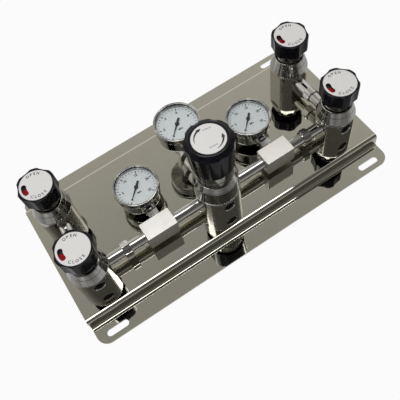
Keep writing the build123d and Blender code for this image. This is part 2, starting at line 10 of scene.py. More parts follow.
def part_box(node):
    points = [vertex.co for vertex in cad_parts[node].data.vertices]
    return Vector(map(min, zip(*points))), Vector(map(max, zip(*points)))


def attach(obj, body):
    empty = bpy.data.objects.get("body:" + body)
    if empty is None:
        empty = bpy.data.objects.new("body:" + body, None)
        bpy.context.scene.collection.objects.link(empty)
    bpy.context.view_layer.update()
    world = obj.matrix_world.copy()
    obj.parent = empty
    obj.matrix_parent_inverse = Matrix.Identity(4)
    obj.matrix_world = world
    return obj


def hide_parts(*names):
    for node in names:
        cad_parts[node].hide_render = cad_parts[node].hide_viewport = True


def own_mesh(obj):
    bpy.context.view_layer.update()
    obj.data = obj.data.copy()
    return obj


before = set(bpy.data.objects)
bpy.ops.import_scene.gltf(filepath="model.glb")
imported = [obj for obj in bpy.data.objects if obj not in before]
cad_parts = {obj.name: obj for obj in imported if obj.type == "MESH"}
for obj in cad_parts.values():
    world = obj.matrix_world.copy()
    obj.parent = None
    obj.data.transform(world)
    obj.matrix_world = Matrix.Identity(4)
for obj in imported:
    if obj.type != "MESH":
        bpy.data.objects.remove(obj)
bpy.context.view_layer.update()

bl_info = {
    "name": "Gas changeover manifold",
    "version": (1, 0, 0),
    "blender": (4, 5, 0),
    "location": "3D View > Sidebar > Manifold",
    "description": "Dresses the packed gas changeover manifold with detailed pieces and finishes",
    "category": "Object",
}

MM = 0.001
CORNERS = ("left_inlet", "right_inlet", "left_vent", "right_vent")
SIDES = ("left", "right")
GAUGES = ("left", "centre", "right")
ROOT = "manifold"
FULL_TURN = 2 * pi

# How finely the curves are cut: steps of a full turn, then of shorter curves
LATHE_STEPS = 96
GRIP_STEPS = 192
BEZEL_STEPS = 128
BORE_STEPS = 64
HUB_STEPS = 48
SCREW_STEPS = 32
WIRE_SIDES = 16
COIL_STEPS = 48
FILLET_STEPS = 4
EDGE_STEPS = 3
LETTER_STEPS = 3
ARC_STEPS = 16

# A point nearer than ON_AXIS is on the axis; cutters reach past a face by CUT_OVER
ON_AXIS = 1e-7
CRISP = 0.1 * MM
CUT_OVER = 1.0 * MM
LABEL_GAP = 0.08 * MM
PRINT_THICKNESS = 0.12 * MM

# Letters on an arc: their spacing in letter heights, and how much their strokes are widened
LETTER_PITCH = 0.86
LETTER_WEIGHT = 0.08 * MM

# Half the outline of a pointer, in millimetres along and across it
POINTER_EDGE = ((-8.2, 0.0), (-8.0, 1.25), (-2.6, 1.3), (-0.4, 0.9), (2.2, 0.95), (10.0, 0.55), (17.5, 0.2))

PAINTED_BORE_SHADE = (0.02, 0.02, 0.02, 1.0)
RIM_BLACK = (0.03, 0.03, 0.03, 1.0)
WHITE = (1.0, 1.0, 1.0, 1.0)

# Where a point is about a piece's own axis
AxisPlace = namedtuple("AxisPlace", "radius angle height x y")


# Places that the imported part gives


def middle(node):
    """Centre of a CAD node's box."""
    low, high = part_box(node)
    return (low + high) / 2


def floor_of(node):
    """Lowest height of a CAD node."""
    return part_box(node)[0].z


def roof_of(node):
    """Highest height of a CAD node."""
    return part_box(node)[1].z


def axis_at(node, height=0.0):
    """Point on a node's vertical axis at the given height."""
    centre = middle(node)
    return Vector((centre.x, centre.y, height))


PANEL_TOP = floor_of("left_inlet_valve_body")
PORT_HEIGHT = middle("left_tee_block").z
VALVE_AXES = {corner: axis_at(f"{corner}_valve_bonnet") for corner in CORNERS}
REGULATOR_AXIS = axis_at("regulator_bonnet")
GAUGE_AXES = {name: axis_at(f"{name}_gauge_bezel") for name in GAUGES}


# Meshes


def new_piece(name, mesh):
    """An object at the origin, linked to the scene."""
    piece = bpy.data.objects.new(name, mesh)
    bpy.context.scene.collection.objects.link(piece)
    return piece


def mesh_from(name, points, faces):
    """A mesh with its faces pointing outwards."""
    mesh = bpy.data.meshes.new(name)
    mesh.from_pydata([tuple(p) for p in points], [], faces)
    work = bmesh.new()
    work.from_mesh(mesh)
    bmesh.ops.recalc_face_normals(work, faces=work.faces)
    work.to_mesh(mesh)
    work.free()
    return mesh


def rounded(corners, steps=FILLET_STEPS):
    """Closed line through (across, up, fillet) corners, each rounded over its fillet length."""
    line = []
    for i, corner in enumerate(corners):
        here = Vector(corner[:2])
        fillet = corner[2] if len(corner) > 2 else 0.0
        back = Vector(corners[i - 1][:2]) - here
        ahead = Vector(corners[(i + 1) % len(corners)][:2]) - here
        reach = min(fillet, back.length / 2, ahead.length / 2)
        if reach <= 0:
            line.append(here)
            continue
        start = here + back.normalized() * reach
        end = here + ahead.normalized() * reach
        for k in range(steps + 1):
            t = k / steps
            line.append(start.lerp(here, t).lerp(here.lerp(end, t), t))
    return line


def revolved(name, profile, steps=LATHE_STEPS, lobes=None):
    """Mesh of revolution about the vertical axis, from a closed (radius, height) line."""
    points = []
    rings = []
    for radius, height in profile:
        if radius < ON_AXIS:
            points.append((0, 0, height))
            rings.append([len(points) - 1])
            continue
        ring = []
        for k in range(steps):
            angle = FULL_TURN * k / steps
            reach = lobes(radius, angle) if lobes else radius
            points.append((reach * cos(angle), reach * sin(angle), height))
            ring.append(len(points) - 1)
        rings.append(ring)
    faces = []
    for one, two in zip(rings, rings[1:] + rings[:1]):
        if len(one) == 1 and len(two) == 1:
            continue
        for k in range(steps):
            after = (k + 1) % steps
            if len(one) == 1:
                faces.append((one[0], two[k], two[after]))
            elif len(two) == 1:
                faces.append((one[k], one[after], two[0]))
            else:
                faces.append((one[k], one[after], two[after], two[k]))
    return mesh_from(name, points, faces)


def swept(name, rings):
    """Mesh over rings of equally many points, closed at both ends."""
    count = len(rings[0])
    last = (len(rings) - 1) * count
    faces = [tuple(range(count)), tuple(range(last, last + count))]
    for start in range(0, last, count):
        for k in range(count):
            here = start + k
            after = start + (k + 1) % count
            faces.append((here, after, after + count, here + count))
    return mesh_from(name, [point for ring in rings for point in ring], faces)


def prism(name, outline, low, high):
    """Mesh between two heights over a closed (x, y) outline."""
    return swept(name, [[(x, y, z) for x, y in outline] for z in (low, high)])


def arc(radius, start, end, steps=ARC_STEPS, centre=(0.0, 0.0)):
    """Points along an arc of a circle, with both its ends."""
    angles = [start + (end - start) * k / steps for k in range(steps + 1)]
    return [(centre[0] + radius * cos(angle), centre[1] + radius * sin(angle)) for angle in angles]


def hexagon(corner):
    """Outline of a hexagon, from the distance of its corners."""
    return arc(corner, 0.0, FULL_TURN, 6)[:-1]


def turn_to(direction):
    """Rotation that takes +Z to the given direction."""
    return Vector((0, 0, 1)).rotation_difference(Vector(direction)).to_matrix().to_4x4()


def placed(mesh, at, direction=(0, 0, 1)):
    """The mesh, turned from +Z to a direction and moved to a point."""
    mesh.transform(Matrix.Translation(at) @ turn_to(direction))
    return mesh


def settle(piece):
    """Replace a piece's mesh by what its modifiers make of it."""
    depsgraph = bpy.context.evaluated_depsgraph_get()
    depsgraph.update()
    made = bpy.data.meshes.new_from_object(piece.evaluated_get(depsgraph))
    made.name = piece.name
    piece.modifiers.clear()
    old = piece.data
    piece.data = made
    bpy.data.meshes.remove(old)
    return piece


def carved(piece, cutters, operation="DIFFERENCE"):
    """Cut the cutters' meshes out of a piece, or keep only what it shares with them."""
    tools = [new_piece(f"{piece.name}_cutter", mesh) for mesh in cutters]
    for tool in tools:
        cut = piece.modifiers.new("cut", "BOOLEAN")
        cut.operation = operation
        cut.object = tool
        cut.solver = "EXACT"
    settle(piece)
    for tool in tools:
        mesh = tool.data
        bpy.data.objects.remove(tool)
        bpy.data.meshes.remove(mesh)
    return piece


def joined(name, meshes):
    """One mesh that holds all the given ones."""
    work = bmesh.new()
    for mesh in meshes:
        work.from_mesh(mesh)
        if not mesh.users:
            bpy.data.meshes.remove(mesh)
    whole = bpy.data.meshes.new(name)
    work.to_mesh(whole)
    work.free()
    return whole


def smoothed(piece, edge=0.0, sharp=32.0):
    """Round the sharp edges by a small width and shade the rest smooth."""
    if edge > 0:
        bevel = piece.modifiers.new("edge", "BEVEL")
        bevel.width = edge
        bevel.segments = EDGE_STEPS
        bevel.limit_method = "ANGLE"
        bevel.angle_limit = radians(sharp)
        settle(piece)
    mesh = piece.data
    mesh.polygons.foreach_set("use_smooth", [True] * len(mesh.polygons))
    mesh.set_sharp_from_angle(angle=radians(sharp))
    weighted = piece.modifiers.new("normals", "WEIGHTED_NORMAL")
    weighted.keep_sharp = True
    return settle(piece)


def loosened(piece):
    """A piece's mesh, without its object."""
    mesh = piece.data
    bpy.data.objects.remove(piece)
    return mesh


def mark_axis(piece, centre, direction=(0, 0, 1)):
    """Store each point's place from the piece's own axis, for the finishes that go round it."""
    back = turn_to(direction).inverted() @ Matrix.Translation(-Vector(centre))
    mesh = piece.data
    attribute = mesh.attributes.new("from_axis", "FLOAT_VECTOR", "POINT")
    flat = []
    for vertex in mesh.vertices:
        flat.extend(back @ vertex.co)
    attribute.data.foreach_set("vector", flat)
    return piece


def dressed(piece, material, body, slot, *nodes):
    """Give a finished piece its material and its body, and hide the CAD nodes it stands for. The slot is not
    used.
    """
    piece.data.materials.clear()
    piece.data.materials.append(material)
    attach(piece, body)
    if nodes:
        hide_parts(*nodes)
    return piece


def lettering(name, words, size, thickness, weight=0.0):
    """A flat mesh of generic words, centred on the origin, with its strokes widened by a weight."""
    curve = bpy.data.curves.new(name, "FONT")
    curve.body = words
    curve.size = size
    curve.offset = weight
    curve.align_x = "CENTER"
    curve.align_y = "CENTER"
    curve.extrude = thickness / 2
    curve.resolution_u = LETTER_STEPS
    holder = new_piece(name, curve)
    bpy.context.view_layer.update()
    depsgraph = bpy.context.evaluated_depsgraph_get()
    mesh = bpy.data.meshes.new_from_object(holder.evaluated_get(depsgraph))
    bpy.data.objects.remove(holder)
    bpy.data.curves.remove(curve)
    return mesh


def arc_lettering(name, words, sizes, angle, upright):
    """Letters set round a circle. Upright letters stand outwards, the others inwards."""
    thickness = 0.1 * MM
    radius = sizes.words_radius
    step = sizes.words_size * LETTER_PITCH / radius * (-1 if upright else 1)
    meshes = []
    for i, letter in enumerate(words):
        turn = angle + (i - (len(words) - 1) / 2) * step
        lean = turn - pi / 2 if upright else turn + pi / 2
        mesh = lettering(name, letter, sizes.words_size, thickness, LETTER_WEIGHT)
        at = Vector((radius * cos(turn), radius * sin(turn), 0))
        mesh.transform(Matrix.Translation(at) @ Matrix.Rotation(lean, 4, "Z"))
        meshes.append(mesh)
    return joined(name, meshes)


# Node trees


class Wire:
    """An output of a node, on which arithmetic can be written."""

    def __init__(self, graph, node, output=0):
        self.graph = graph
        self.node = node
        self.socket = node.outputs[output]

    def other(self, output):
        """Another output of the same node."""
        return Wire(self.graph, self.node, output)

    def _math(self, operation, first, second=0.0):
        values = {0: first, 1: second}
        return self.graph.add("ShaderNodeMath", {"operation": operation}, values)

    def __add__(self, value):
        return self._math("ADD", self, value)

    __radd__ = __add__

    def __sub__(self, value):
        return self._math("SUBTRACT", self, value)

    def __rsub__(self, value):
        return self._math("SUBTRACT", value, self)

    def __mul__(self, value):
        return self._math("MULTIPLY", self, value)

    __rmul__ = __mul__

    def __truediv__(self, value):
        return self._math("DIVIDE", self, value)

    def __pow__(self, value):
        return self._math("POWER", self, value)

    def __mod__(self, value):
        return self._math("FLOORED_MODULO", self, value)

    def size(self):
        return self._math("ABSOLUTE", self)

    def least(self, value):
        return self._math("MINIMUM", self, value)

    def most(self, value):
        return self._math("MAXIMUM", self, value)

    def cosine(self):
        return self._math("COSINE", self)

    def sine(self):
        return self._math("SINE", self)

    def above(self, edge, blur):
        """1 where this is above an edge, with a soft step of the given width."""
        settings = {"interpolation_type": "SMOOTHSTEP"}
        values = {"Value": self, "From Min": edge - blur / 2, "From Max": edge + blur / 2}
        return self.graph.add("ShaderNodeMapRange", settings, values)

    def below(self, edge, blur):
        """1 where this is below an edge."""
        return 1 - self.above(edge, blur)

    def between(self, low, high, blur):
        """1 where this is between two edges."""
        return self.above(low, blur) * self.below(high, blur)


class Graph:
    """Adds nodes to a tree; a value in its inputs is either a number, a colour or a Wire."""

    def __init__(self, tree):
        self.tree = tree
        tree.nodes.clear()

    def add(self, kind, settings=None, values=None, output=0):
        """A new node with its settings and input values, as a wire from one of its outputs."""
        node = self.tree.nodes.new(kind)
        for name, value in (settings or {}).items():
            setattr(node, name, value)
        for name, value in (values or {}).items():
            if isinstance(value, Wire):
                self.tree.links.new(value.socket, node.inputs[name])
            else:
                node.inputs[name].default_value = value
        return Wire(self, node, output) if node.outputs else None

    def vector(self, x=0.0, y=0.0, z=0.0):
        """A vector of three numbers or wires."""
        return self.add("ShaderNodeCombineXYZ", None, {0: x, 1: y, 2: z})

    def split(self, vector):
        """The three parts of a vector."""
        whole = self.add("ShaderNodeSeparateXYZ", None, {0: vector})
        return whole, whole.other(1), whole.other(2)

    def mix(self, factor, one, two):
        """A colour between two; the node's colour sockets are 6 and 7, and their result is 2."""
        return self.add("ShaderNodeMix", {"data_type": "RGBA"}, {0: factor, 6: one, 7: two}, 2)

    def place(self):
        """Where a point is on the object, in metres."""
        return self.add("ShaderNodeTexCoord", None, None, "Object")

    def scaled(self, vector, x, y, z):
        """A vector with each part multiplied."""
        return self.add("ShaderNodeVectorMath", {"operation": "MULTIPLY"}, {0: vector, 1: (x, y, z)})

    def from_axis(self):
        """Where a point is about the piece's own axis."""
        stored = self.add("ShaderNodeAttribute", {"attribute_name": "from_axis"}, None, "Vector")
        x, y, z = self.split(stored)
        radius = (x * x + y * y) ** 0.5
        angle = self.add("ShaderNodeMath", {"operation": "ARCTAN2"}, {0: y, 1: x})
        return AxisPlace(radius, angle, z, x, y)

    def noise(self, vector, scale, detail=3.0, roughness=0.5):
        """Soft noise around 0.5."""
        values = {"Vector": vector, "Scale": scale, "Detail": detail, "Roughness": roughness}
        return self.add("ShaderNodeTexNoise", None, values)

    def bump(self, height, strength, distance, normal=None):
        """A relief for a shader's normal, on top of another one if that is given."""
        values = {"Height": height, "Strength": strength, "Distance": distance}
        if normal is not None:
            values["Normal"] = normal
        return self.add("ShaderNodeBump", None, values)


def opaque(colour):
    """A colour with full alpha."""
    return (*colour[:3], 1.0)


def shade_of(colour, factor):
    """A lighter or darker copy of a colour."""
    return tuple(min(1.0, part * factor) for part in colour[:3]) + (1.0,)


def surface(name, constants, varying):
    """A material whose Principled shader takes constant values and linked ones."""
    material = bpy.data.materials.get(name)
    if material:
        return material
    material = bpy.data.materials.new(name)
    material.use_nodes = True
    graph = Graph(material.node_tree)
    shader = graph.add("ShaderNodeBsdfPrincipled", None, constants | varying(graph))
    graph.add("ShaderNodeOutputMaterial", None, {"Surface": shader})
    return material


def ring_grain(graph):
    """Fine tool lines round a turned piece."""
    lines_per_metre = 9000.0
    axis = graph.from_axis()
    lines = graph.vector(axis.radius * lines_per_metre, 0.0, axis.height * lines_per_metre)
    return graph.noise(lines, scale=1.0, detail=2.0, roughness=0.6)


def painted_reflection_streaks(graph, tone, colour):
    """The tone with painted reflection streaks, soft dark and light, along a turned piece."""
    axis = graph.from_axis()
    round_scale = 1.7
    long_scale = 8.0
    along = graph.vector(axis.angle * round_scale, axis.height * long_scale, axis.radius * long_scale)
    reflection_streak = graph.noise(along, scale=1.0, detail=3.0, roughness=0.6)
    # Painted reflection: dark and light streaks stand in for the surroundings seen in the steel
    tone = graph.mix(reflection_streak.below(edge=0.50, blur=0.36) * 0.9, tone, shade_of(colour, 0.45))
    return graph.mix(reflection_streak.above(edge=0.62, blur=0.26) * 0.8, tone, shade_of(colour, 1.7))


def with_painted_bore_shade(graph, tone, body):
    """The tone with painted shade: nearly black inside the bores of a milled body."""
    skin = 1.0 * MM
    blur = 0.3 * MM
    axis = graph.from_axis()
    within_flats = axis.x.size().most(axis.y.size()).below(body.flat - 1.1 * skin, blur)
    within_round = axis.radius.below(body.radius - skin, blur)
    return graph.mix(within_flats * within_round * 0.93, tone, PAINTED_BORE_SHADE)


def steel(name, look, grain, body=None):
    """Bare steel. grain says which way its fine lines run; a body's sizes place painted shade inside its
    bores.
    """
    colour = tuple(look.colour)

    def varying(graph):
        place = graph.place()
        cloud = graph.noise(place, scale=38.0, detail=4.0, roughness=0.6)
        smudge = graph.noise(place, scale=95.0, detail=5.0, roughness=0.65)
        speck = graph.noise(place, scale=2600.0, detail=2.0)
        if grain == "rings":
            fine = ring_grain(graph)
        elif grain == "along_x":
            brushed = graph.scaled(place, 60.0, 5200.0, 5200.0)
            fine = graph.noise(brushed, scale=1.0, detail=3.0, roughness=0.6)
        else:
            fine = graph.noise(place, scale=900.0, detail=3.0, roughness=0.6)
        clouded = cloud.between(low=0.35, high=0.75, blur=0.3)
        tone = graph.mix(clouded, shade_of(colour, 0.93), shade_of(colour, 1.05))
        tone = graph.mix(fine * look.grain_contrast, tone, shade_of(colour, 0.72))
        if grain == "rings":
            # Turned pieces get painted reflection streaks
            tone = painted_reflection_streaks(graph, tone, colour)
        # Painted shade inside the bores
        if body:
            tone = with_painted_bore_shade(graph, tone, body)
        rough = look.roughness + (smudge - 0.5) * look.smudge + (fine - 0.5) * look.grain_contrast * 0.25
        lined = graph.bump(fine, look.grain_depth, distance=0.06 * MM)
        dented = graph.bump(speck, look.grain_depth * 0.3, distance=0.02 * MM, normal=lined)
        return {"Base Color": tone, "Roughness": rough.most(0.02), "Normal": dented}

    return surface(name, {"Metallic": 1.0}, varying)


def mirror_sheet(name, look):
    """Polished sheet: an almost clean mirror with a slow roll and a few fine scratches."""
    colour = tuple(look.colour)

    def varying(graph):
        place = graph.place()
        roll = graph.noise(place, scale=9.0, detail=1.0)
        haze = graph.noise(place, scale=60.0, detail=4.0, roughness=0.6)
        drawn = graph.scaled(place, 90.0, 2400.0, 900.0)
        mark = graph.noise(drawn, scale=1.0, detail=3.0, roughness=0.7).above(edge=0.68, blur=0.05)
        hazy = haze.between(low=0.3, high=0.8, blur=0.4)
        tone = graph.mix(hazy, shade_of(colour, 0.96), shade_of(colour, 1.03))
        tone = graph.mix(mark * 0.3, tone, shade_of(colour, 1.25))
        rough = look.roughness + (haze - 0.5) * look.smudge + mark * 0.05
        rolled = graph.bump(roll, look.grain_depth, distance=0.6 * MM)
        return {"Base Color": tone, "Roughness": rough.most(0.012), "Normal": rolled}

    return surface(name, {"Metallic": 1.0}, varying)


def moulded(name, look, rim_height):
    """Black moulded plastic with a soft grain, rubbed lighter in places and glossy above its rim."""
    colour = tuple(look.colour)
    dust_grey = (0.30, 0.30, 0.29, 1.0)

    def varying(graph):
        place = graph.place()
        grain = graph.noise(place, scale=1500.0, detail=3.0, roughness=0.6)
        rub = graph.noise(place, scale=130.0, detail=4.0, roughness=0.6)
        dust = graph.noise(place, scale=700.0, detail=5.0, roughness=0.7).above(edge=0.66, blur=0.08)
        rubbed = rub.between(low=0.4, high=0.8, blur=0.3)
        tone = graph.mix(rubbed, opaque(colour), shade_of(colour, 1.8))
        tone = graph.mix(dust * 0.03, tone, dust_grey)
        rough = look.roughness + (rub - 0.5) * look.smudge + dust * 0.08
        worn = graph.bump(grain, look.grain_depth, distance=0.05 * MM)
        gloss = graph.from_axis().height.above(rim_height, blur=0.6 * MM) * 0.3
        return {"Base Color": tone, "Roughness": rough.most(0.05), "Coat Weight": gloss, "Normal": worn}

    return surface(name, {"Specular IOR Level": 0.08, "Coat Roughness": 0.12}, varying)


def label_film(name, look, rim_radius):
    """White printed film with a thin dark rim."""
    colour = tuple(look.colour)

    def varying(graph):
        place = graph.place()
        fibre = graph.noise(place, scale=1800.0, detail=3.0)
        age = graph.noise(place, scale=160.0, detail=4.0, roughness=0.6)
        aged = age.between(low=0.35, high=0.8, blur=0.3)
        tone = graph.mix(aged, opaque(colour), shade_of(colour, 0.94))
        rim = graph.from_axis().radius.above(rim_radius, blur=0.15 * MM)
        tone = graph.mix(rim, tone, RIM_BLACK)
        rough = look.roughness + (age - 0.5) * look.smudge
        raised = graph.bump(fibre, look.grain_depth, distance=0.02 * MM)
        return {"Base Color": tone, "Roughness": rough.most(0.1), "Normal": raised}

    return surface(name, {"Coat Weight": 0.25, "Coat Roughness": 0.15}, varying)


def in_sector(angle, middle_angle, half_sweep):
    """1 within a sector round the axis."""
    turned = (angle - middle_angle) % FULL_TURN
    away = turned.least(FULL_TURN - turned)
    return away.below(half_sweep, blur=0.03)


def indicator_enamel(name, sectors, finishes):
    """Enamel in sectors: red under the window when shut, green when open, dark elsewhere."""
    dark_tones = ((0.012, 0.011, 0.011, 1.0), (0.03, 0.028, 0.027, 1.0))

    def varying(graph):
        angle = graph.from_axis().angle
        patch = graph.noise(graph.place(), scale=900.0, detail=3.0)
        shut = in_sector(angle, sectors.shut_middle, sectors.sector_half)
        opened = in_sector(angle, sectors.open_middle, sectors.sector_half)
        dark = graph.mix(patch, *dark_tones)
        red = graph.mix(patch, opaque(finishes.shut_colour), shade_of(finishes.shut_colour, 0.7))
        green = graph.mix(patch, opaque(finishes.open_colour), shade_of(finishes.open_colour, 0.7))
        tone = graph.mix(opened, graph.mix(shut, dark, red), green)
        relief = graph.bump(patch, strength=0.1, distance=0.03 * MM)
        return {"Base Color": tone, "Roughness": 0.10 + patch * 0.10, "Normal": relief}

    return surface(name, {"Specular IOR Level": 0.10}, varying)


def printed_ink(name, colour):
    """Slightly uneven printing ink."""

    def varying(graph):
        patch = graph.noise(graph.place(), scale=2400.0, detail=3.0)
        tone = graph.mix(patch, opaque(colour), shade_of(colour, 1.7))
        relief = graph.bump(patch, strength=0.05, distance=0.01 * MM)
        return {"Base Color": tone, "Roughness": 0.35 + patch * 0.25, "Normal": relief}

    return surface(name, {}, varying)


def dial_enamel(name, colour, rim_radius):
    """White dial plate, a touch greyer towards its rim."""

    def varying(graph):
        radius = graph.from_axis().radius
        patch = graph.noise(graph.place(), scale=500.0, detail=4.0)
        patched = patch.between(low=0.4, high=0.8, blur=0.3)
        tone = graph.mix(patched, opaque(colour), shade_of(colour, 0.96))
        tone = graph.mix(radius.above(rim_radius, blur=2.0 * MM) * 0.35, tone, shade_of(colour, 0.7))
        relief = graph.bump(patch, strength=0.03, distance=0.02 * MM)
        return {"Base Color": tone, "Roughness": 0.38 + patch * 0.15, "Normal": relief}

    return surface(name, {}, varying)


def clear_glass(name):
    """Thin clear window: mostly see-through, with a reflection that grows towards grazing."""
    tints = ((0.05, 0.05, 0.05, 1.0), (0.08, 0.08, 0.08, 1.0))

    def varying(graph):
        film = graph.noise(graph.place(), scale=180.0, detail=4.0, roughness=0.6)
        return {
            "Base Color": graph.mix(film, *tints),
            "Roughness": 0.015 + film * 0.03,
            "Normal": graph.bump(film, strength=0.02, distance=0.05 * MM),
            "Alpha": 0.03 + film * 0.03,
        }

    return surface(name, {"Metallic": 0.0, "IOR": 1.5}, varying)


# Settings that a user would change


def length(name, about, default):
    """A length in metres."""
    return FloatProperty(name=name, description=about, default=default, min=0.0, unit="LENGTH")


def paint(name, about, default):
    """A linear colour."""
    return FloatVectorProperty(name=name, description=about, default=default, min=0, max=1, subtype="COLOR")


def share(name, about, default):
    """A plain number from 0 to 1."""
    return FloatProperty(name=name, description=about, default=default, min=0.0, max=1.0, subtype="FACTOR")


def bearing(name, about, degrees):
    """An angle, given in degrees."""
    return FloatProperty(name=name, description=about, default=radians(degrees), subtype="ANGLE")


def power(name, about, default):
    """A lamp's power in watts."""
    return FloatProperty(name=name, description=about, default=default, min=0.0, unit="POWER")


def location(name, about, default):
    """A point in metres."""
    return FloatVectorProperty(name=name, description=about, default=default, subtype="TRANSLATION")


class FinishLook(bpy.types.PropertyGroup):
    """One surface finish."""

    colour: paint("Colour", "Base colour", (0.6, 0.6, 0.58))
    roughness: share("Roughness", "How blurred reflections are", 0.2)
    smudge: share("Smudge", "How much handling marks change the roughness", 0.1)
    grain_contrast: share("Grain contrast", "How much the fine lines darken the colour", 0.1)
    grain_depth: share("Grain depth", "Strength of the fine relief", 0.1)


class ManifoldFinishes(bpy.types.PropertyGroup):
    """Colours of the whole part."""

    sheet: PointerProperty(type=FinishLook, name="Back plate", description="Polished sheet")
    body: PointerProperty(type=FinishLook, name="Bodies", description="Milled valve and regulator bodies")
    bonnet: PointerProperty(type=FinishLook, name="Bonnets", description="Turned bonnets")
    block: PointerProperty(type=FinishLook, name="Tee blocks", description="Brushed square bar")
    pipe: PointerProperty(type=FinishLook, name="Pipes", description="Pipes and nipples")
    forged: PointerProperty(type=FinishLook, name="Forged fittings", description="Elbow")
    inner: PointerProperty(type=FinishLook, name="Inner parts", description="Stems, springs and screws")
    gauge: PointerProperty(type=FinishLook, name="Gauge cases", description="Gauge cases and bezels")
    plastic: PointerProperty(type=FinishLook, name="Knobs", description="Moulded handwheels and knob")
    film: PointerProperty(type=FinishLook, name="Labels", description="Printed label film")
    ink_colour: paint("Ink", "Printing on labels and dials", (0.012, 0.012, 0.012))
    faint_ink_colour: paint("Faint ink", "Outline lettering on the labels", (0.03, 0.03, 0.035))
    dial_colour: paint("Dial", "Dial enamel", (0.74, 0.785, 0.80))
    shut_colour: paint("Shut", "Indicator under the window of a shut valve", (0.34, 0.010, 0.014))
    open_colour: paint("Open", "Indicator under the window of an open valve", (0.02, 0.25, 0.04))


class PlateSizes(bpy.types.PropertyGroup):
    """Folded back plate."""

    sheet: length("Sheet", "Thickness of the sheet", 2.0 * MM)
    panel_width: length("Panel width", "Width of the raised panel", 168.0 * MM)
    bend: length("Bend", "Inside radius of the folds", 3.0 * MM)
    corner: length("Corner", "Radius of the flange corners", 13.0 * MM)
    slot_length: length("Slot length", "End to end length of a wall slot", 27.0 * MM)
    slot_width: length("Slot width", "Width of a wall slot", 8.0 * MM)
    slot_end: length("Slot from end", "Distance of a slot's middle from the plate's end", 25.0 * MM)
    slot_web: length("Slot from web", "Distance of a slot's middle from the panel's side", 16.0 * MM)
    hole: length("Hole", "Radius of a screw hole", 2.6 * MM)
    edge: length("Edge", "Rounding of the cut edges", 0.25 * MM)


class ScrewSizes(bpy.types.PropertyGroup):
    """Socket screws under the panel."""

    head: length("Head", "Radius of the head", 4.25 * MM)
    shank: length("Shank", "Radius of the shank", 2.5 * MM)
    socket: length("Socket", "Corner radius of the hexagon socket, and its depth", 1.7 * MM)
    valve_half_pitch: length("Valve screws", "Distance of a valve's screws from its axis", 10.0 * MM)
    regulator_half_pitch: length("Regulator screws", "Distance of its screws from its axis", 14.0 * MM)


class PortSizes(bpy.types.PropertyGroup):
    """Threaded ports, pipe sockets, pipes and hexagons."""

    port: length("Port", "Radius of a threaded port", 6.6 * MM)
    port_depth: length("Port depth", "Depth of a threaded port", 13.0 * MM)
    thread: length("Thread", "Depth of the thread in a port", 0.55 * MM)
    pitch: length("Pitch", "Distance between the thread's crests", 1.4 * MM)
    socket: length("Socket", "Radius of a pipe socket", 6.75 * MM)
    socket_depth: length("Socket depth", "Depth of a pipe socket", 8.0 * MM)
    mouth: length("Mouth", "Width of the countersink", 0.9 * MM)
    pipe: length("Pipe", "Outer radius of a pipe", 6.7 * MM)
    bore: length("Bore", "Inner radius of a pipe", 3.5 * MM)
    hexagon: length("Hexagon", "Width of a nipple's hexagon across its flats", 16.5 * MM)
    hexagon_length: length("Hexagon length", "Length of a nipple's hexagon", 9.5 * MM)


class ValveSizes(bpy.types.PropertyGroup):
    """Shut-off valve."""

    radius: length("Radius", "Radius of body and collar", 23.0 * MM)
    flat: length("Flat", "Distance of a milled flat from the axis", 21.0 * MM)
    body_height: length("Body height", "Height of the body", 33.0 * MM)
    flat_height: length("Flat height", "Height of the milled flats", 31.0 * MM)
    collar_height: length("Collar height", "Height of the bonnet's collar", 18.0 * MM)
    collar_top: length("Collar top", "Radius of the collar's upper rim", 18.0 * MM)
    line_height: length("Line height", "Height of the fine line round the collar above its foot", 10.5 * MM)
    line_depth: length("Line depth", "Depth of the fine line round the collar", 0.35 * MM)
    neck: length("Neck", "Radius of the bonnet's neck", 14.3 * MM)
    bevel: length("Bevel", "Width of the bonnet's bevels", 0.8 * MM)
    spigot: length("Spigot", "Radius of the bonnet's foot inside the body", 11.9 * MM)
    stem: length("Stem bore", "Radius of the bores that the stem runs in", 4.08 * MM)
    gland: length("Gland", "Radius of the recess in the bonnet's top and of the disc's bore", 6.08 * MM)
    gland_depth: length("Gland depth", "Depth of the recess in the bonnet's top", 7.4 * MM)
    wheel: length("Handwheel", "Radius of the handwheel", 21.7 * MM)
    wheel_inside: length("Inside", "Radius of the hollow under the handwheel", 17.4 * MM)
    wheel_roof: length("Roof", "Thickness of the handwheel under the label", 2.0 * MM)
    hub: length("Hub", "Radius of the handwheel's hub", 6.0 * MM)
    hub_length: length("Hub length", "Length of the handwheel's hub", 9.0 * MM)
    scallops: IntProperty(name="Scallops", description="Scallops round the handwheel", default=6, min=3)
    scallop: length("Scallop", "Depth of a scallop", 1.9 * MM)
    scallop_radius: length("Scallop radius", "Radius of the scallop's cutter", 30.0 * MM)
    scallop_phase: bearing("Scallop phase", "Angle of the first scallop", 42)
    label: length("Label", "Radius of the label", 18.8 * MM)
    words_radius: length("Words", "Radius of the circle that the words stand on", 14.4 * MM)
    words_size: length("Words size", "Height of the words", 4.6 * MM)
    open_words: bearing("Open word", "Where the word open stands", 78)
    close_words: bearing("Close word", "Where the word close stands", 262)
    window: length("Window", "Distance of the window from the axis", 13.1 * MM)
    window_width: length("Window width", "Width of the window", 5.8 * MM)
    window_length: length("Window length", "Length of the window along its arc", 14.4 * MM)
    window_angle: bearing("Window angle", "Where the window is on a shut valve", 176)
    indicator: length("Indicator", "Radius of the indicator disc", 16.6 * MM)


class IndicatorSectors(bpy.types.PropertyGroup):
    """Painted sectors of one indicator disc."""

    shut_middle: bearing("Shut", "Middle of the red sector", 186)
    open_middle: bearing("Open", "Middle of the green sector", 276)
    sector_half: bearing("Half sector", "Half the sweep of a sector", 21)


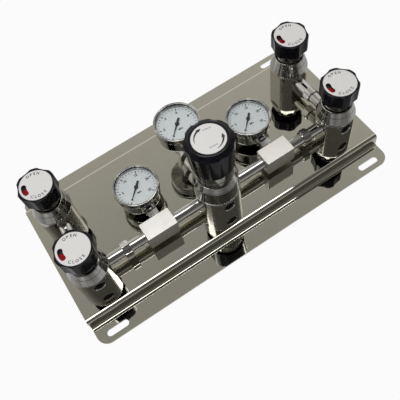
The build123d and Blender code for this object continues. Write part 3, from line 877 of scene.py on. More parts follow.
class RegulatorSizes(bpy.types.PropertyGroup):
    """Pressure regulator."""

    radius: length("Radius", "Radius of the body", 26.0 * MM)
    flat: length("Flat", "Distance of a milled flat from the axis", 24.3 * MM)
    body_height: length("Body height", "Height of the body", 34.0 * MM)
    flat_height: length("Flat height", "Height of the milled flats", 31.5 * MM)
    collar: length("Collar", "Radius of the bonnet's collar", 25.4 * MM)
    collar_height: length("Collar height", "Height of the bonnet's collar", 22.5 * MM)
    slope: length("Slope", "Height of the slope from the collar to the tube", 6.0 * MM)
    tube: length("Tube", "Radius of the bonnet's tube", 21.0 * MM)
    wall: length("Wall", "Thickness of the bonnet's tube", 3.6 * MM)
    roof: length("Roof", "Thickness of the bonnet's top", 5.0 * MM)
    groove_height: length("Groove", "Height of the tube's groove above the collar", 14.0 * MM)
    screw: length("Screw bore", "Radius of the bonnet's bore for the adjusting screw", 5.08 * MM)
    bevel: length("Bevel", "Width of the collar's bevels", 0.8 * MM)
    knob_low: length("Knob foot", "Radius of the knob's foot", 23.6 * MM)
    knob_high: length("Knob brow", "Radius of the knob below its shoulder", 26.2 * MM)
    knob_top: length("Knob top", "Radius of the knob's top", 20.6 * MM)
    knob_inside: length("Knob inside", "Radius of the hollow in the knob", 18.4 * MM)
    knob_skirt: length("Knob skirt", "Inner radius of the knob's skirt round the bonnet", 21.8 * MM)
    knob_roof: length("Knob roof", "Thickness of the knob under the label", 4.0 * MM)
    knob_bore: length("Knob bore", "Radius of the hub's bore", 5.05 * MM)
    hub: length("Hub", "Radius of the knob's hub", 9.0 * MM)
    hub_length: length("Hub length", "Length of the knob's hub", 12.0 * MM)
    shoulder: length("Shoulder", "Height of the sloping shoulder", 5.0 * MM)
    scallop: length("Scallop", "Depth of a grip scallop", 1.3 * MM)
    scallop_inside: length("Scallop inside", "Radius within which the grip is round", 22.0 * MM)
    scallop_radius: length("Scallop radius", "Radius of the scallop's cutter", 14.0 * MM)
    scallops: IntProperty(name="Scallops", description="Grip scallops round the knob", default=8, min=3)
    label: length("Label", "Radius of the label", 18.5 * MM)
    words_size: length("Words size", "Height of the label's words", 2.1 * MM)
    words_turn: bearing("Words turn", "How far the label's words are turned", -7)
    spring_coil: length("Spring", "Radius of the spring's middle line", 10.2 * MM)
    spring_wire: length("Spring wire", "Radius of the spring's wire", 1.7 * MM)
    spring_turns: FloatProperty(name="Spring turns", description="Turns of the spring", default=5.0, min=1.0)
    spring_travel: length("Spring travel", "How far the knob squeezes the spring", 6.0 * MM)


class GaugeSizes(bpy.types.PropertyGroup):
    """Pressure gauge."""

    case: length("Case", "Radius of the case", 25.2 * MM)
    depth: length("Depth", "Depth of the case", 25.0 * MM)
    bezel: length("Bezel", "Outer radius of the bezel", 27.0 * MM)
    bezel_height: length("Bezel height", "Height of the bezel", 7.5 * MM)
    lip: length("Lip", "Width of the bezel's lip over the glass", 2.4 * MM)
    lip_thickness: length("Lip thickness", "Thickness of the lip", 0.9 * MM)
    wall: length("Wall", "Thickness of the case's wall", 1.0 * MM)
    hub: length("Hub", "Radius of the post under the dial", 7.5 * MM)
    hub_drop: length("Hub drop", "Depth of the post's top below the bezel", 6.9 * MM)
    boss: length("Boss", "Radius of the boss behind the case", 7.3 * MM)
    boss_start: length("Boss start", "Distance of the boss from the dial's axis", 23.2 * MM)
    boss_end: length("Boss end", "Distance of the square's start from the dial's axis", 29.7 * MM)
    square: length("Square", "Width of the spanner square", 12.6 * MM)
    square_length: length("Square length", "Length of a side gauge's square", 9.0 * MM)
    back_neck: length("Back neck", "Radius of the centre gauge's neck", 6.0 * MM)
    back_thread: length("Back thread", "Depth of the centre gauge's thread in its elbow", 7.9 * MM)
    seat: length("Seat", "Gap between a square and what it stands on", 0.3 * MM)
    stem: length("Stem", "Radius of the stem's thread", 6.7 * MM)
    stem_bore: length("Stem bore", "Radius of the bore in a stem", 1.0 * MM)
    dial_bore: length("Dial bore", "Radius of the hole in a dial", 0.78 * MM)
    dial_rim: length("Dial rim", "Radius from which a dial is greyer", 22.5 * MM)
    tick_radius: length("Tick circle", "Outer ends of the ticks", 22.2 * MM)
    tick_long: length("Long tick", "Length of a numbered tick", 3.0 * MM)
    tick_short: length("Short tick", "Length of a plain tick", 1.7 * MM)
    tick_width: length("Tick width", "Width of a tick", 0.70 * MM)
    number_radius: length("Number circle", "Middle of the numbers", 16.2 * MM)
    number_size: length("Number size", "Height of the numbers", 4.4 * MM)
    number_weight: length("Number weight", "How much the numbers' strokes are widened", 0.15 * MM)
    unit_size: length("Unit size", "Height of the unit", 3.2 * MM)
    unit_weight: length("Unit weight", "How much the unit's strokes are widened", 0.12 * MM)
    unit_drop: length("Unit drop", "Distance of the unit from the axis", 7.5 * MM)
    pointer_gap: length("Pointer gap", "Height of the pointer above the dial", 1.2 * MM)
    pointer: length("Pointer", "Thickness of the pointer", 0.6 * MM)
    zero: bearing("Zero", "Where the scale starts", 225)
    sweep: bearing("Sweep", "How far the scale turns", 270)
    inlet_scale: StringProperty(name="Inlet scale", description="Numbers of the side gauges",
                                default="0 5 10 15 20 25")
    outlet_scale: StringProperty(name="Outlet scale", description="Numbers of the centre gauge",
                                 default="0 .2 .4 .6 .8 1")
    ticks_between: IntProperty(name="Ticks between", description="Steps from one number to the next",
                               default=5, min=1)


class StudioSettings(bpy.types.PropertyGroup):
    """Camera, lamps and floor."""

    camera_at: location("Camera", "Place of the camera", (-0.1303, -0.3230, 0.6009))
    camera_turn: FloatVectorProperty(name="Camera turn", description="Rotation of the camera",
                                     default=[radians(turn) for turn in (27.644, 6.509, -32.951)],
                                     subtype="EULER")
    lens: FloatProperty(name="Lens", description="Focal length in millimetres", default=50.70, min=1.0)
    sensor: FloatProperty(name="Sensor", description="Sensor width in millimetres", default=36.0, min=1.0)
    clip: length("Clip", "Nearest distance that the camera sees", 0.01)
    overhead: power("Overhead", "Power of the overhead lamp", 5.5)
    overhead_at: location("Overhead place", "Place of the overhead lamp", (-0.05, 0.06, 1.15))
    overhead_aim: location("Overhead aim", "Point under the overhead lamp", (-0.05, 0.06, 0.0))
    overhead_width: length("Overhead width", "Width of the overhead lamp", 1.0)
    overhead_depth: length("Overhead depth", "Depth of the overhead lamp", 0.36)
    fill: power("Fill", "Power of the soft lamp for matt surfaces", 3.4)
    fill_at: location("Fill place", "Place of the soft lamp", (-0.45, -0.35, 1.1))
    fill_aim: location("Fill aim", "Point that the soft lamp faces", (-0.1, -0.05, 0.0))
    fill_size: length("Fill size", "Width and depth of the soft lamp", 0.8)
    sky: share("Sky", "Light of the surroundings on matt surfaces", 0.8)
    in_metal: share("Floor in metal", "How bright the white floor looks in polished metal", 0.45)
    floor_half: length("Floor", "Half the width of the floor", 6.0)
    floor_gap: length("Floor gap", "Depth of the floor below the part", 0.5 * MM)
    dark_front: FloatProperty(name="Dark front", default=-0.16, unit="LENGTH",
                              description="In metal the floor is darker in front of this line")
    lit_right: length("Lit right", "In metal the floor is light again to the right of this line", 0.24)


# Making the pieces


def lobe_rule(outer, inner, sizes, phase):
    """Radius of a scalloped wall: full depth at the outer radius and none within the inner one."""
    cutter = sizes.scallop_radius
    reach = outer + cutter - sizes.scallop
    step = FULL_TURN / sizes.scallops
    blend = 0.25 * MM

    def radius_at(radius, angle):
        if radius <= inner:
            return radius
        away = (angle - phase + step / 2) % step - step / 2
        side = reach * sin(away)
        wall = outer
        if abs(side) < cutter:
            wall = reach * cos(away) - sqrt(cutter * cutter - side * side)
        gap = max(-1.0, min(1.0, (outer - wall) / blend))
        soft = (outer + wall) / 2 - abs(outer - wall) / 2 - blend / 8 * (1 - gap * gap)
        cut = outer - min(outer, soft)
        return radius - cut * min(1.0, (radius - inner) / (outer - inner))

    return radius_at


def bore_cutter(at, direction, face, sizes, threaded):
    """Solid that cuts a countersunk bore into a flat: a threaded port or a plain pipe socket."""
    rise, crest = 0.45, 0.75
    radius = sizes.port if threaded else sizes.socket
    depth = sizes.port_depth if threaded else sizes.socket_depth
    bottom = face - depth
    line = [(0, bottom), (radius, bottom)]
    turns = int((depth - sizes.mouth) / sizes.pitch) if threaded else 0
    for k in range(turns):
        foot = bottom + sizes.pitch * k
        line.append((radius, foot + sizes.pitch * rise))
        line.append((radius - sizes.thread, foot + sizes.pitch * crest))
        line.append((radius, foot + sizes.pitch))
    outside = face + CUT_OVER
    mouth = radius + sizes.mouth
    line += [(radius, face - sizes.mouth), (mouth, face), (mouth, outside), (0, outside)]
    return placed(revolved("bore", line, BORE_STEPS), Vector((at.x, at.y, PORT_HEIGHT)), direction)


def milled_outline(radius, flat, steps=24):
    """Circle with four flats, as (x, y) points about its own axis."""
    start = pi / 2 - atan2(flat, sqrt(radius * radius - flat * flat))
    outline = []
    for quarter in range(4):
        corner = quarter * pi / 2
        outline += arc(radius, corner + start, corner + pi / 2 - start, steps)
    return outline


def milled_body(name, axis, sizes, port_sizes, ports, sockets):
    """Milled round body: flats below, full round above, ports and sockets in the flats."""
    edge = 0.35 * MM
    low = PANEL_TOP
    top = low + sizes.body_height
    ledge = low + sizes.flat_height
    lower = prism(name, milled_outline(sizes.radius, sizes.flat), low, ledge)
    piece = new_piece(name, placed(lower, axis))
    cutters = [bore_cutter(axis, way, sizes.flat, port_sizes, True) for way in ports]
    cutters += [bore_cutter(axis, way, sizes.flat, port_sizes, False) for way in sockets]
    carved(piece, cutters)
    smoothed(piece, edge, 40.0)
    cap_line = rounded([
        (0, ledge), (sizes.radius, ledge, 0.25 * MM), (sizes.radius, top, edge), (0, top),
    ])
    cap = smoothed(new_piece(name, placed(revolved(name, cap_line), axis)))
    piece.data = joined(name, [piece.data, loosened(cap)])
    return mark_axis(smoothed(piece), axis)


def groove(radius, low, depth, width):
    """Line of a shallow groove round a neck; half its width is its floor."""
    slope = width / 4
    return [
        (radius, low, CRISP), (radius - depth, low + slope, CRISP),
        (radius - depth, low + width - slope, CRISP), (radius, low + width, CRISP),
    ]


def coil_spring(name, sizes, low, high):
    """Round wire wound about the vertical axis between two heights."""
    steps = round(sizes.spring_turns * COIL_STEPS)
    rise = high - low - 2 * sizes.spring_wire
    whole = FULL_TURN * sizes.spring_turns
    reach = sizes.spring_coil * whole
    rings = []
    for k in range(steps + 1):
        angle = whole * k / steps
        out = Vector((cos(angle), sin(angle), 0))
        centre = out * sizes.spring_coil + Vector((0, 0, low + sizes.spring_wire + rise * k / steps))
        along = Vector((-sin(angle) * reach, cos(angle) * reach, rise)).normalized()
        up = along.cross(out)
        turns = [FULL_TURN * side / WIRE_SIDES for side in range(WIRE_SIDES)]
        rings.append([centre + (out * cos(turn) + up * sin(turn)) * sizes.spring_wire for turn in turns])
    return swept(name, rings)


def hexagon_nut(name, start, end, across, slope=0.55):
    """Hexagonal bar between two points with its corners turned off at both ends."""
    run = Vector(end) - Vector(start)
    corner = across / sqrt(3)
    piece = new_piece(name, prism(name, hexagon(corner), 0, run.length))
    trim = (corner - across / 2) * slope
    line = [(0, 0), (across / 2, 0), (corner, trim), (corner, run.length - trim),
            (across / 2, run.length), (0, run.length)]
    carved(piece, [revolved(name, line)], "INTERSECT")
    smoothed(piece, 0.2 * MM, 25.0)
    return placed(loosened(piece), start, run)


def square_bar(name, start, end, across):
    """Square bar between two points with rounded edges."""
    run = Vector(end) - Vector(start)
    half = across / 2
    corners = [(half, half, MM), (-half, half, MM), (-half, -half, MM), (half, -half, MM)]
    piece = new_piece(name, prism(name, rounded(corners), 0, run.length))
    smoothed(piece, 0.3 * MM, 40.0)
    return placed(loosened(piece), start, run)


def tube(name, start, end, outer, inner, edge=0.4 * MM):
    """Pipe between two points."""
    run = Vector(end) - Vector(start)
    line = rounded([(inner, 0), (outer, 0, edge), (outer, run.length, edge), (inner, run.length)])
    return placed(revolved(name, line), start, run)


def pipe_piece(node, way, sizes, with_hexagon):
    """A pipe or nipple in the place of its CAD node, along X or Y."""
    low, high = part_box(node)
    centre = (low + high) / 2
    reach = way * (high - low).dot(way) / 2
    name = f"{node}_finished"
    meshes = [tube(name, centre - reach, centre + reach, sizes.pipe, sizes.bore)]
    if with_hexagon:
        half = way * sizes.hexagon_length / 2
        meshes.append(hexagon_nut(name, centre - half, centre + half, sizes.hexagon))
    piece = new_piece(name, joined(name, meshes))
    return mark_axis(smoothed(piece), centre, way)


def window_cutter(sizes, axis, low, high):
    """Curved slot through the label and the top of the handwheel."""
    half_sweep = (sizes.window_length - sizes.window_width) / 2 / sizes.window
    half_width = sizes.window_width / 2
    start = sizes.window_angle - half_sweep
    end = sizes.window_angle + half_sweep
    first = (sizes.window * cos(start), sizes.window * sin(start))
    last = (sizes.window * cos(end), sizes.window * sin(end))
    outline = arc(sizes.window + half_width, start, end)
    outline += arc(half_width, end, end + pi, centre=last)[1:-1]
    outline += arc(sizes.window - half_width, end, start)
    outline += arc(half_width, start + pi, start + FULL_TURN, centre=first)[1:-1]
    return placed(prism("window_cutter", outline, low, high), axis)


def tick_tree():
    """Geometry Nodes tree that sets ticks round a dial, with a longer one at each number."""
    tree = bpy.data.node_groups.new("dial_ticks", "GeometryNodeTree")
    kinds = {
        "NodeSocketInt": ("Count", "Every"),
        "NodeSocketFloat": ("Zero", "Sweep", "Radius", "Long", "Short", "Width", "Thickness"),
        "NodeSocketMaterial": ("Ink",),
    }
    for kind, labels in kinds.items():
        for label in labels:
            tree.interface.new_socket(label, in_out="INPUT", socket_type=kind)
    tree.interface.new_socket("Geometry", in_out="OUTPUT", socket_type="NodeSocketGeometry")
    graph = Graph(tree)
    inputs = graph.add("NodeGroupInput")
    count = inputs.other("Count")
    every = inputs.other("Every")
    radius = inputs.other("Radius")
    long_tick = inputs.other("Long")
    short_tick = inputs.other("Short")
    index = graph.add("GeometryNodeInputIndex")
    angle = inputs.other("Zero") - inputs.other("Sweep") * index / (count - 1)
    numbered = 1 - (index % every).least(1.0)
    reach = short_tick + (long_tick - short_tick) * numbered
    centre = radius - reach / 2
    spot = graph.vector(centre * angle.cosine(), centre * angle.sine(), 0.0)
    points = graph.add("GeometryNodePoints", None, {"Count": count, "Position": spot})
    bar = graph.add("GeometryNodeMeshCube", None, {"Size": (1.0, 1.0, 1.0)})
    bolder = 1.0 + numbered * 0.5
    size = graph.vector(reach, inputs.other("Width") * bolder, inputs.other("Thickness"))
    turn = graph.vector(0.0, 0.0, angle)
    rotation = graph.add("FunctionNodeEulerToRotation", None, {0: turn})
    copies = graph.add("GeometryNodeInstanceOnPoints", None,
                       {"Points": points, "Instance": bar, "Rotation": rotation, "Scale": size})
    real = graph.add("GeometryNodeRealizeInstances", None, {0: copies})
    inked = graph.add("GeometryNodeSetMaterial", None, {"Geometry": real, "Material": inputs.other("Ink")})
    graph.add("NodeGroupOutput", None, {"Geometry": inked})
    return tree


def repeated(name, tree, values, feet=()):
    """Piece that a Geometry Nodes tree makes from the given inputs and feet."""
    mesh = bpy.data.meshes.new(name)
    mesh.from_pydata(feet, [], [])
    piece = new_piece(name, mesh)
    modifier = piece.modifiers.new(name, "NODES")
    modifier.node_group = tree
    for item in tree.interface.items_tree:
        if item.in_out == "INPUT" and item.name in values:
            modifier[item.identifier] = values[item.name]
    return settle(piece)


def screw_tree():
    """Geometry Nodes tree that sets a pair of screws at each fitting's foot."""
    tree = bpy.data.node_groups.new("panel_screw_pairs", "GeometryNodeTree")
    tree.interface.new_socket("Feet", in_out="INPUT", socket_type="NodeSocketGeometry")
    tree.interface.new_socket("Screw", in_out="INPUT", socket_type="NodeSocketObject")
    tree.interface.new_socket("Steel", in_out="INPUT", socket_type="NodeSocketMaterial")
    tree.interface.new_socket("Geometry", in_out="OUTPUT", socket_type="NodeSocketGeometry")
    graph = Graph(tree)
    inputs = graph.add("NodeGroupInput")
    screw = graph.add("GeometryNodeObjectInfo", None, {"Object": inputs.other("Screw")}, "Geometry")
    on_feet = {"Points": inputs.other("Feet"), "Instance": screw}
    copies = graph.add("GeometryNodeInstanceOnPoints", None, on_feet)
    real = graph.add("GeometryNodeRealizeInstances", None, {0: copies})
    in_steel = {"Geometry": real, "Material": inputs.other("Steel")}
    finished = graph.add("GeometryNodeSetMaterial", None, in_steel)
    graph.add("NodeGroupOutput", None, {"Geometry": finished})
    return tree


class Maker:
    """What every operator of this file shares."""

    bl_options = {"REGISTER", "UNDO"}

    def execute(self, context):
        self.make(context.scene)
        return {"FINISHED"}


class MANIFOLD_OT_back_plate(Maker, bpy.types.Operator):
    """Folded mirror-polished sheet with slots and screw holes"""

    bl_idname = "manifold.back_plate"
    bl_label = "Back plate"

    def make(self, scene):
        name = "folded_back_plate"
        sizes = scene.manifold_plate
        low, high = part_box("backplate")
        web = sizes.panel_width / 2
        edge = high.y
        thick = sizes.sheet
        inner = sizes.bend
        outer = sizes.bend + thick
        right = [(edge, 0), (edge, thick), (web, thick, inner), (web, high.z, outer)]
        line = right + [(-y, *rest) for y, *rest in reversed(right)]
        line += [(-(web - thick), 0, outer), (-(web - thick), high.z - thick, inner)]
        line += [(web - thick, high.z - thick, inner), (web - thick, 0, outer)]
        section = rounded(line, steps=8)
        piece = new_piece(name, swept(name, [[(x, y, z) for y, z in section] for x in (low.x, high.x)]))
        plan = self.plan(high.x, edge, sizes.corner)
        carved(piece, [prism("plan", plan, low.z - CUT_OVER, high.z + CUT_OVER)], "INTERSECT")
        cutters = []
        for x in (-1, 1):
            for y in (-1, 1):
                spot = Vector((x * (high.x - sizes.slot_end), y * (web + sizes.slot_web), 0))
                cutters.append(placed(prism("slot", self.slot(sizes), -CUT_OVER, thick + CUT_OVER), spot))
        below = -thick - CUT_OVER
        for spot in screw_places(scene.manifold_screws):
            hole = [(0, below), (sizes.hole, below), (sizes.hole, CUT_OVER), (0, CUT_OVER)]
            cutters.append(placed(revolved("hole", hole, SCREW_STEPS), spot + Vector((0, 0, PANEL_TOP))))
        carved(piece, cutters)
        smoothed(piece, sizes.edge, 40.0)
        material = mirror_sheet("polished_sheet", scene.manifold_finishes.sheet)
        dressed(piece, material, ROOT, "panel_steel", "backplate")

    @staticmethod
    def plan(x, y, radius):
        """Rectangle about the origin with true arcs at its corners."""
        outline = []
        for quarter, (x_side, y_side) in enumerate(((1, 1), (-1, 1), (-1, -1), (1, -1))):
            centre = (x_side * (x - radius), y_side * (y - radius))
            outline += arc(radius, quarter * pi / 2, (quarter + 1) * pi / 2, 12, centre)
        return outline

    @staticmethod
    def slot(sizes):
        """Outline of a wall slot about its own centre."""
        radius = sizes.slot_width / 2
        reach = sizes.slot_length / 2 - radius
        right = arc(radius, -pi / 2, pi / 2, centre=(reach, 0))
        return right + arc(radius, pi / 2, pi * 3 / 2, centre=(-reach, 0))


def screw_places(sizes):
    """Places of the screws: two at each fitting that stands on the panel."""
    fittings = [(VALVE_AXES[corner], sizes.valve_half_pitch) for corner in CORNERS]
    fittings.append((REGULATOR_AXIS, sizes.regulator_half_pitch))
    return [axis + Vector((side * half, 0, 0)) for axis, half in fittings for side in (-1, 1)]


class MANIFOLD_OT_panel_screws(Maker, bpy.types.Operator):
    """Socket screws that come up through the panel"""

    bl_idname = "manifold.panel_screws"
    bl_label = "Panel screws"

    def make(self, scene):
        sizes = scene.manifold_screws
        low = floor_of("panel_screws")
        high = roof_of("panel_screws")
        under = PANEL_TOP - scene.manifold_plate.sheet
        line = rounded([
            (0, low), (sizes.head, low, 0.5 * MM), (sizes.head, under, CRISP), (sizes.shank, under),
            (sizes.shank, high, 0.4 * MM), (0, high),
        ])
        screw = new_piece("screw_prototype", revolved("screw_prototype", line, SCREW_STEPS))
        carved(screw, [prism("socket", hexagon(sizes.socket), low - CUT_OVER, low + sizes.socket)])
        smoothed(screw)
        material = steel("socket_screw_steel", scene.manifold_finishes.inner, "plain")
        values = {"Screw": screw, "Steel": material}
        piece = repeated("panel_socket_screws", screw_tree(), values, screw_places(sizes))
        bpy.data.objects.remove(screw)
        dressed(piece, material, ROOT, "screw_steel", "panel_screws")


class MANIFOLD_OT_valve_bodies(Maker, bpy.types.Operator):
    """Milled round valve bodies with threaded ports"""

    bl_idname = "manifold.valve_bodies"
    bl_label = "Valve bodies"

    def make(self, scene):
        sizes = scene.manifold_valve
        material = steel("milled_valve_steel", scene.manifold_finishes.body, "plain", sizes)
        for corner in CORNERS:
            axis = VALVE_AXES[corner]
            inlet = corner.endswith("inlet")
            inward = (-1 if axis.x > 0 else 1, 0, 0)
            ports = [(0, -1, 0)] if inlet else [(0, 1, 0)]
            sockets = [inward, (0, 1, 0)] if inlet else [(0, -1, 0)]
            piece = milled_body(f"{corner}_milled_body", axis, sizes, scene.manifold_ports, ports, sockets)
            dressed(piece, material, ROOT, "body_steel", f"{corner}_valve_body")


class MANIFOLD_OT_valve_bonnets(Maker, bpy.types.Operator):
    """Turned bonnets with a bevelled collar and a grooved neck"""

    bl_idname = "manifold.valve_bonnets"
    bl_label = "Valve bonnets"

    def make(self, scene):
        sizes = scene.manifold_valve
        material = steel("turned_steel", scene.manifold_finishes.bonnet, "rings")
        bevel = sizes.bevel
        soft = 0.3 * MM
        rim = 0.4 * MM
        for corner in CORNERS:
            node = f"{corner}_valve_bonnet"
            low = floor_of(node)
            top = roof_of(node)
            gland_floor = top - sizes.gland_depth
            seam = PANEL_TOP + sizes.body_height
            shoulder = seam + sizes.collar_height
            cut = seam + sizes.line_height
            taper = (sizes.radius - sizes.collar_top) / sizes.collar_height
            cut_radius = sizes.radius - taper * sizes.line_height
            line = rounded([
                (sizes.stem, low), (sizes.spigot, low, soft), (sizes.spigot, seam),
                (sizes.radius - bevel, seam), (sizes.radius, seam + bevel, soft),
                (cut_radius + 0.1 * MM, cut - soft, CRISP), (cut_radius - sizes.line_depth, cut, CRISP),
                (cut_radius - 0.2 * MM, cut + soft, CRISP),
                (sizes.collar_top, shoulder - bevel, rim), (sizes.collar_top - bevel, shoulder, rim),
                (sizes.neck, shoulder, 1.2 * MM),
                *groove(sizes.neck, shoulder + 6.0 * MM, 0.5 * MM, 1.2 * MM),
                (sizes.neck, top, soft), (sizes.gland, top),
                (sizes.gland, gland_floor), (sizes.stem, gland_floor),
            ], steps=3)
            axis = VALVE_AXES[corner]
            piece = new_piece(f"{corner}_turned_bonnet", placed(revolved(node, line), axis))
            mark_axis(smoothed(piece), axis)
            dressed(piece, material, ROOT, "bonnet_steel", node)


class MANIFOLD_OT_handwheels(Maker, bpy.types.Operator):
    """Scalloped black handwheels with a window in their tops"""

    bl_idname = "manifold.handwheels"
    bl_label = "Handwheels"

    def make(self, scene):
        sizes = scene.manifold_valve
        glossy_from = roof_of("left_inlet_valve_handwheel") - 1.6 * MM
        material = moulded("handwheel_black", scene.manifold_finishes.plastic, glossy_from)
        recess = sizes.label + LABEL_GAP
        round_inside = recess + 0.05 * MM
        rule = lobe_rule(sizes.wheel, round_inside, sizes, sizes.scallop_phase)
        for corner in CORNERS:
            node = f"{corner}_valve_handwheel"
            low = floor_of(node)
            top = roof_of(node)
            label_floor = floor_of(f"{corner}_valve_label")
            ceiling = label_floor - sizes.wheel_roof
            hub_foot = ceiling - sizes.hub_length
            line = rounded([
                (0, label_floor), (0, ceiling), (sizes.stem, ceiling), (sizes.stem, hub_foot),
                (sizes.hub, hub_foot, 0.3 * MM), (sizes.hub, ceiling, 0.5 * MM),
                (sizes.wheel_inside, ceiling, 0.8 * MM), (sizes.wheel_inside, low, 0.4 * MM),
                (sizes.wheel, low, 0.7 * MM), (sizes.wheel, top, 1.2 * MM),
                (recess, top, 0.2 * MM), (recess, label_floor),
            ], steps=5)
            axis = VALVE_AXES[corner]
            mesh = revolved(node, line, GRIP_STEPS, rule)
            piece = new_piece(f"{corner}_scalloped_handwheel", placed(mesh, axis))
            carved(piece, [window_cutter(sizes, axis, ceiling - 3 * CUT_OVER, top + CUT_OVER)])
            mark_axis(smoothed(piece, 0.0, 50.0), axis)
            dressed(piece, material, f"{corner}_wheel", "handwheel_plastic", node)


class MANIFOLD_OT_valve_labels(Maker, bpy.types.Operator):
    """Label discs with their window and the words open and close"""

    bl_idname = "manifold.valve_labels"
    bl_label = "Valve labels"

    def make(self, scene):
        sizes = scene.manifold_valve
        finishes = scene.manifold_finishes
        film = label_film("valve_label_film", finishes.film, sizes.label - 0.5 * MM)
        ink = printed_ink("faint_ink", tuple(finishes.faint_ink_colour))
        for corner in CORNERS:
            node = f"{corner}_valve_label"
            low = floor_of(node)
            top = roof_of(node)
            axis = VALVE_AXES[corner]
            line = rounded([(0, low), (sizes.label, low), (sizes.label, top, 0.15 * MM), (0, top)], 3)
            piece = new_piece(f"{corner}_label_disc", placed(revolved(node, line), axis))
            carved(piece, [window_cutter(sizes, axis, low - CUT_OVER, top + CUT_OVER)])
            mark_axis(smoothed(piece), axis)
            dressed(piece, film, f"{corner}_wheel", "label_white", node)
            words = [
                arc_lettering("open", "OPEN", sizes, sizes.open_words, upright=True),
                arc_lettering("close", "CLOSE", sizes, sizes.close_words, upright=False),
            ]
            text = new_piece(f"{corner}_label_words", joined("words", words))
            text.data.transform(Matrix.Translation(axis + Vector((0, 0, top))))
            dressed(text, ink, f"{corner}_wheel", "label_white")


class MANIFOLD_OT_indicators(Maker, bpy.types.Operator):
    """Painted discs that show through the windows"""

    bl_idname = "manifold.indicators"
    bl_label = "Indicators"

    def make(self, scene):
        sizes = scene.manifold_valve
        hole = sizes.gland
        disc = sizes.indicator
        material = indicator_enamel("painted_sectors", scene.manifold_sectors, scene.manifold_finishes)
        for corner in CORNERS:
            node = f"{corner}_valve_indicator"
            low = floor_of(node)
            top = roof_of(node)
            axis = VALVE_AXES[corner]
            line = rounded([(hole, low), (disc, low), (disc, top, 0.3 * MM), (hole, top)], steps=3)
            piece = new_piece(f"{corner}_indicator_disc", placed(revolved(node, line), axis))
            mark_axis(smoothed(piece), axis)
            dressed(piece, material, ROOT, "indicator_enamel", node)


class MANIFOLD_OT_tee_blocks(Maker, bpy.types.Operator):
    """Brushed square blocks with countersunk sockets"""

    bl_idname = "manifold.tee_blocks"
    bl_label = "Tee blocks"

    def make(self, scene):
        sizes = scene.manifold_ports
        material = steel("brushed_block", scene.manifold_finishes.block, "along_x")
        for side in SIDES:
            node = f"{side}_tee_block"
            low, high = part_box(node)
            outline = [(low.x, low.y), (high.x, low.y), (high.x, high.y), (low.x, high.y)]
            piece = new_piece(f"{side}_brushed_block", prism(node, outline, low.z, high.z))
            centre = (low + high) / 2
            half = (high.x - low.x) / 2
            gauge = Vector((GAUGE_AXES[side].x, centre.y, 0))
            cutters = [bore_cutter(centre, way, half, sizes, False) for way in ((1, 0, 0), (-1, 0, 0))]
            cutters.append(bore_cutter(gauge, (0, 1, 0), (high.y - low.y) / 2, sizes, False))
            carved(piece, cutters)
            smoothed(piece, 0.5 * MM, 40.0)
            dressed(piece, material, ROOT, "block_steel", node)


class MANIFOLD_OT_pipes(Maker, bpy.types.Operator):
    """Pipes and hexagon nipples"""

    bl_idname = "manifold.pipes"
    bl_label = "Pipes"

    def make(self, scene):
        material = steel("polished_pipe", scene.manifold_finishes.pipe, "rings")
        along_x = Vector((1, 0, 0))
        along_y = Vector((0, 1, 0))
        kinds = (
            ("inlet_nipple", along_x, True),
            ("link_pipe", along_x, False),
            ("vent_nipple", along_y, True),
        )
        for side in SIDES:
            for kind, way, with_hexagon in kinds:
                node = f"{side}_{kind}"
                piece = pipe_piece(node, way, scene.manifold_ports, with_hexagon)
                dressed(piece, material, ROOT, "pipe_steel", node)


class MANIFOLD_OT_regulator(Maker, bpy.types.Operator):
    """Regulator body and bonnet"""

    bl_idname = "manifold.regulator"
    bl_label = "Regulator"

    def make(self, scene):
        sizes = scene.manifold_regulator
        axis = REGULATOR_AXIS
        body_steel = steel("milled_regulator_steel", scene.manifold_finishes.body, "plain", sizes)
        ports = [(0, -1, 0)]
        sockets = [(-1, 0, 0), (1, 0, 0), (0, 1, 0)]
        piece = milled_body("regulator_milled_body", axis, sizes, scene.manifold_ports, ports, sockets)
        dressed(piece, body_steel, ROOT, "body_steel", "regulator_body")
        turned = steel("turned_steel", scene.manifold_finishes.bonnet, "rings")
        bevel = sizes.bevel
        chamfer = 1.2 * MM
        soft = 0.3 * MM
        rim = 0.5 * MM
        low = floor_of("regulator_bonnet")
        top = roof_of("regulator_bonnet")
        collar = low + sizes.collar_height
        tube_foot = collar + sizes.slope
        inside = sizes.tube - sizes.wall
        line = rounded([
            (inside, low), (sizes.collar - bevel, low), (sizes.collar, low + bevel, soft),
            (sizes.collar, collar - bevel, rim), (sizes.collar - bevel, collar, rim),
            (sizes.tube + bevel, tube_foot, soft), (sizes.tube, tube_foot, CRISP),
            *groove(sizes.tube, collar + sizes.groove_height, 0.6 * MM, 1.6 * MM),
            (sizes.tube, top - chamfer, 0.4 * MM), (sizes.tube - chamfer, top, 0.4 * MM),
            (sizes.screw, top), (sizes.screw, top - sizes.roof), (inside, top - sizes.roof),
        ], steps=3)
        piece = new_piece("regulator_turned_bonnet", placed(revolved("bonnet", line), axis))
        mark_axis(smoothed(piece), axis)
        dressed(piece, turned, ROOT, "bonnet_steel", "regulator_bonnet")


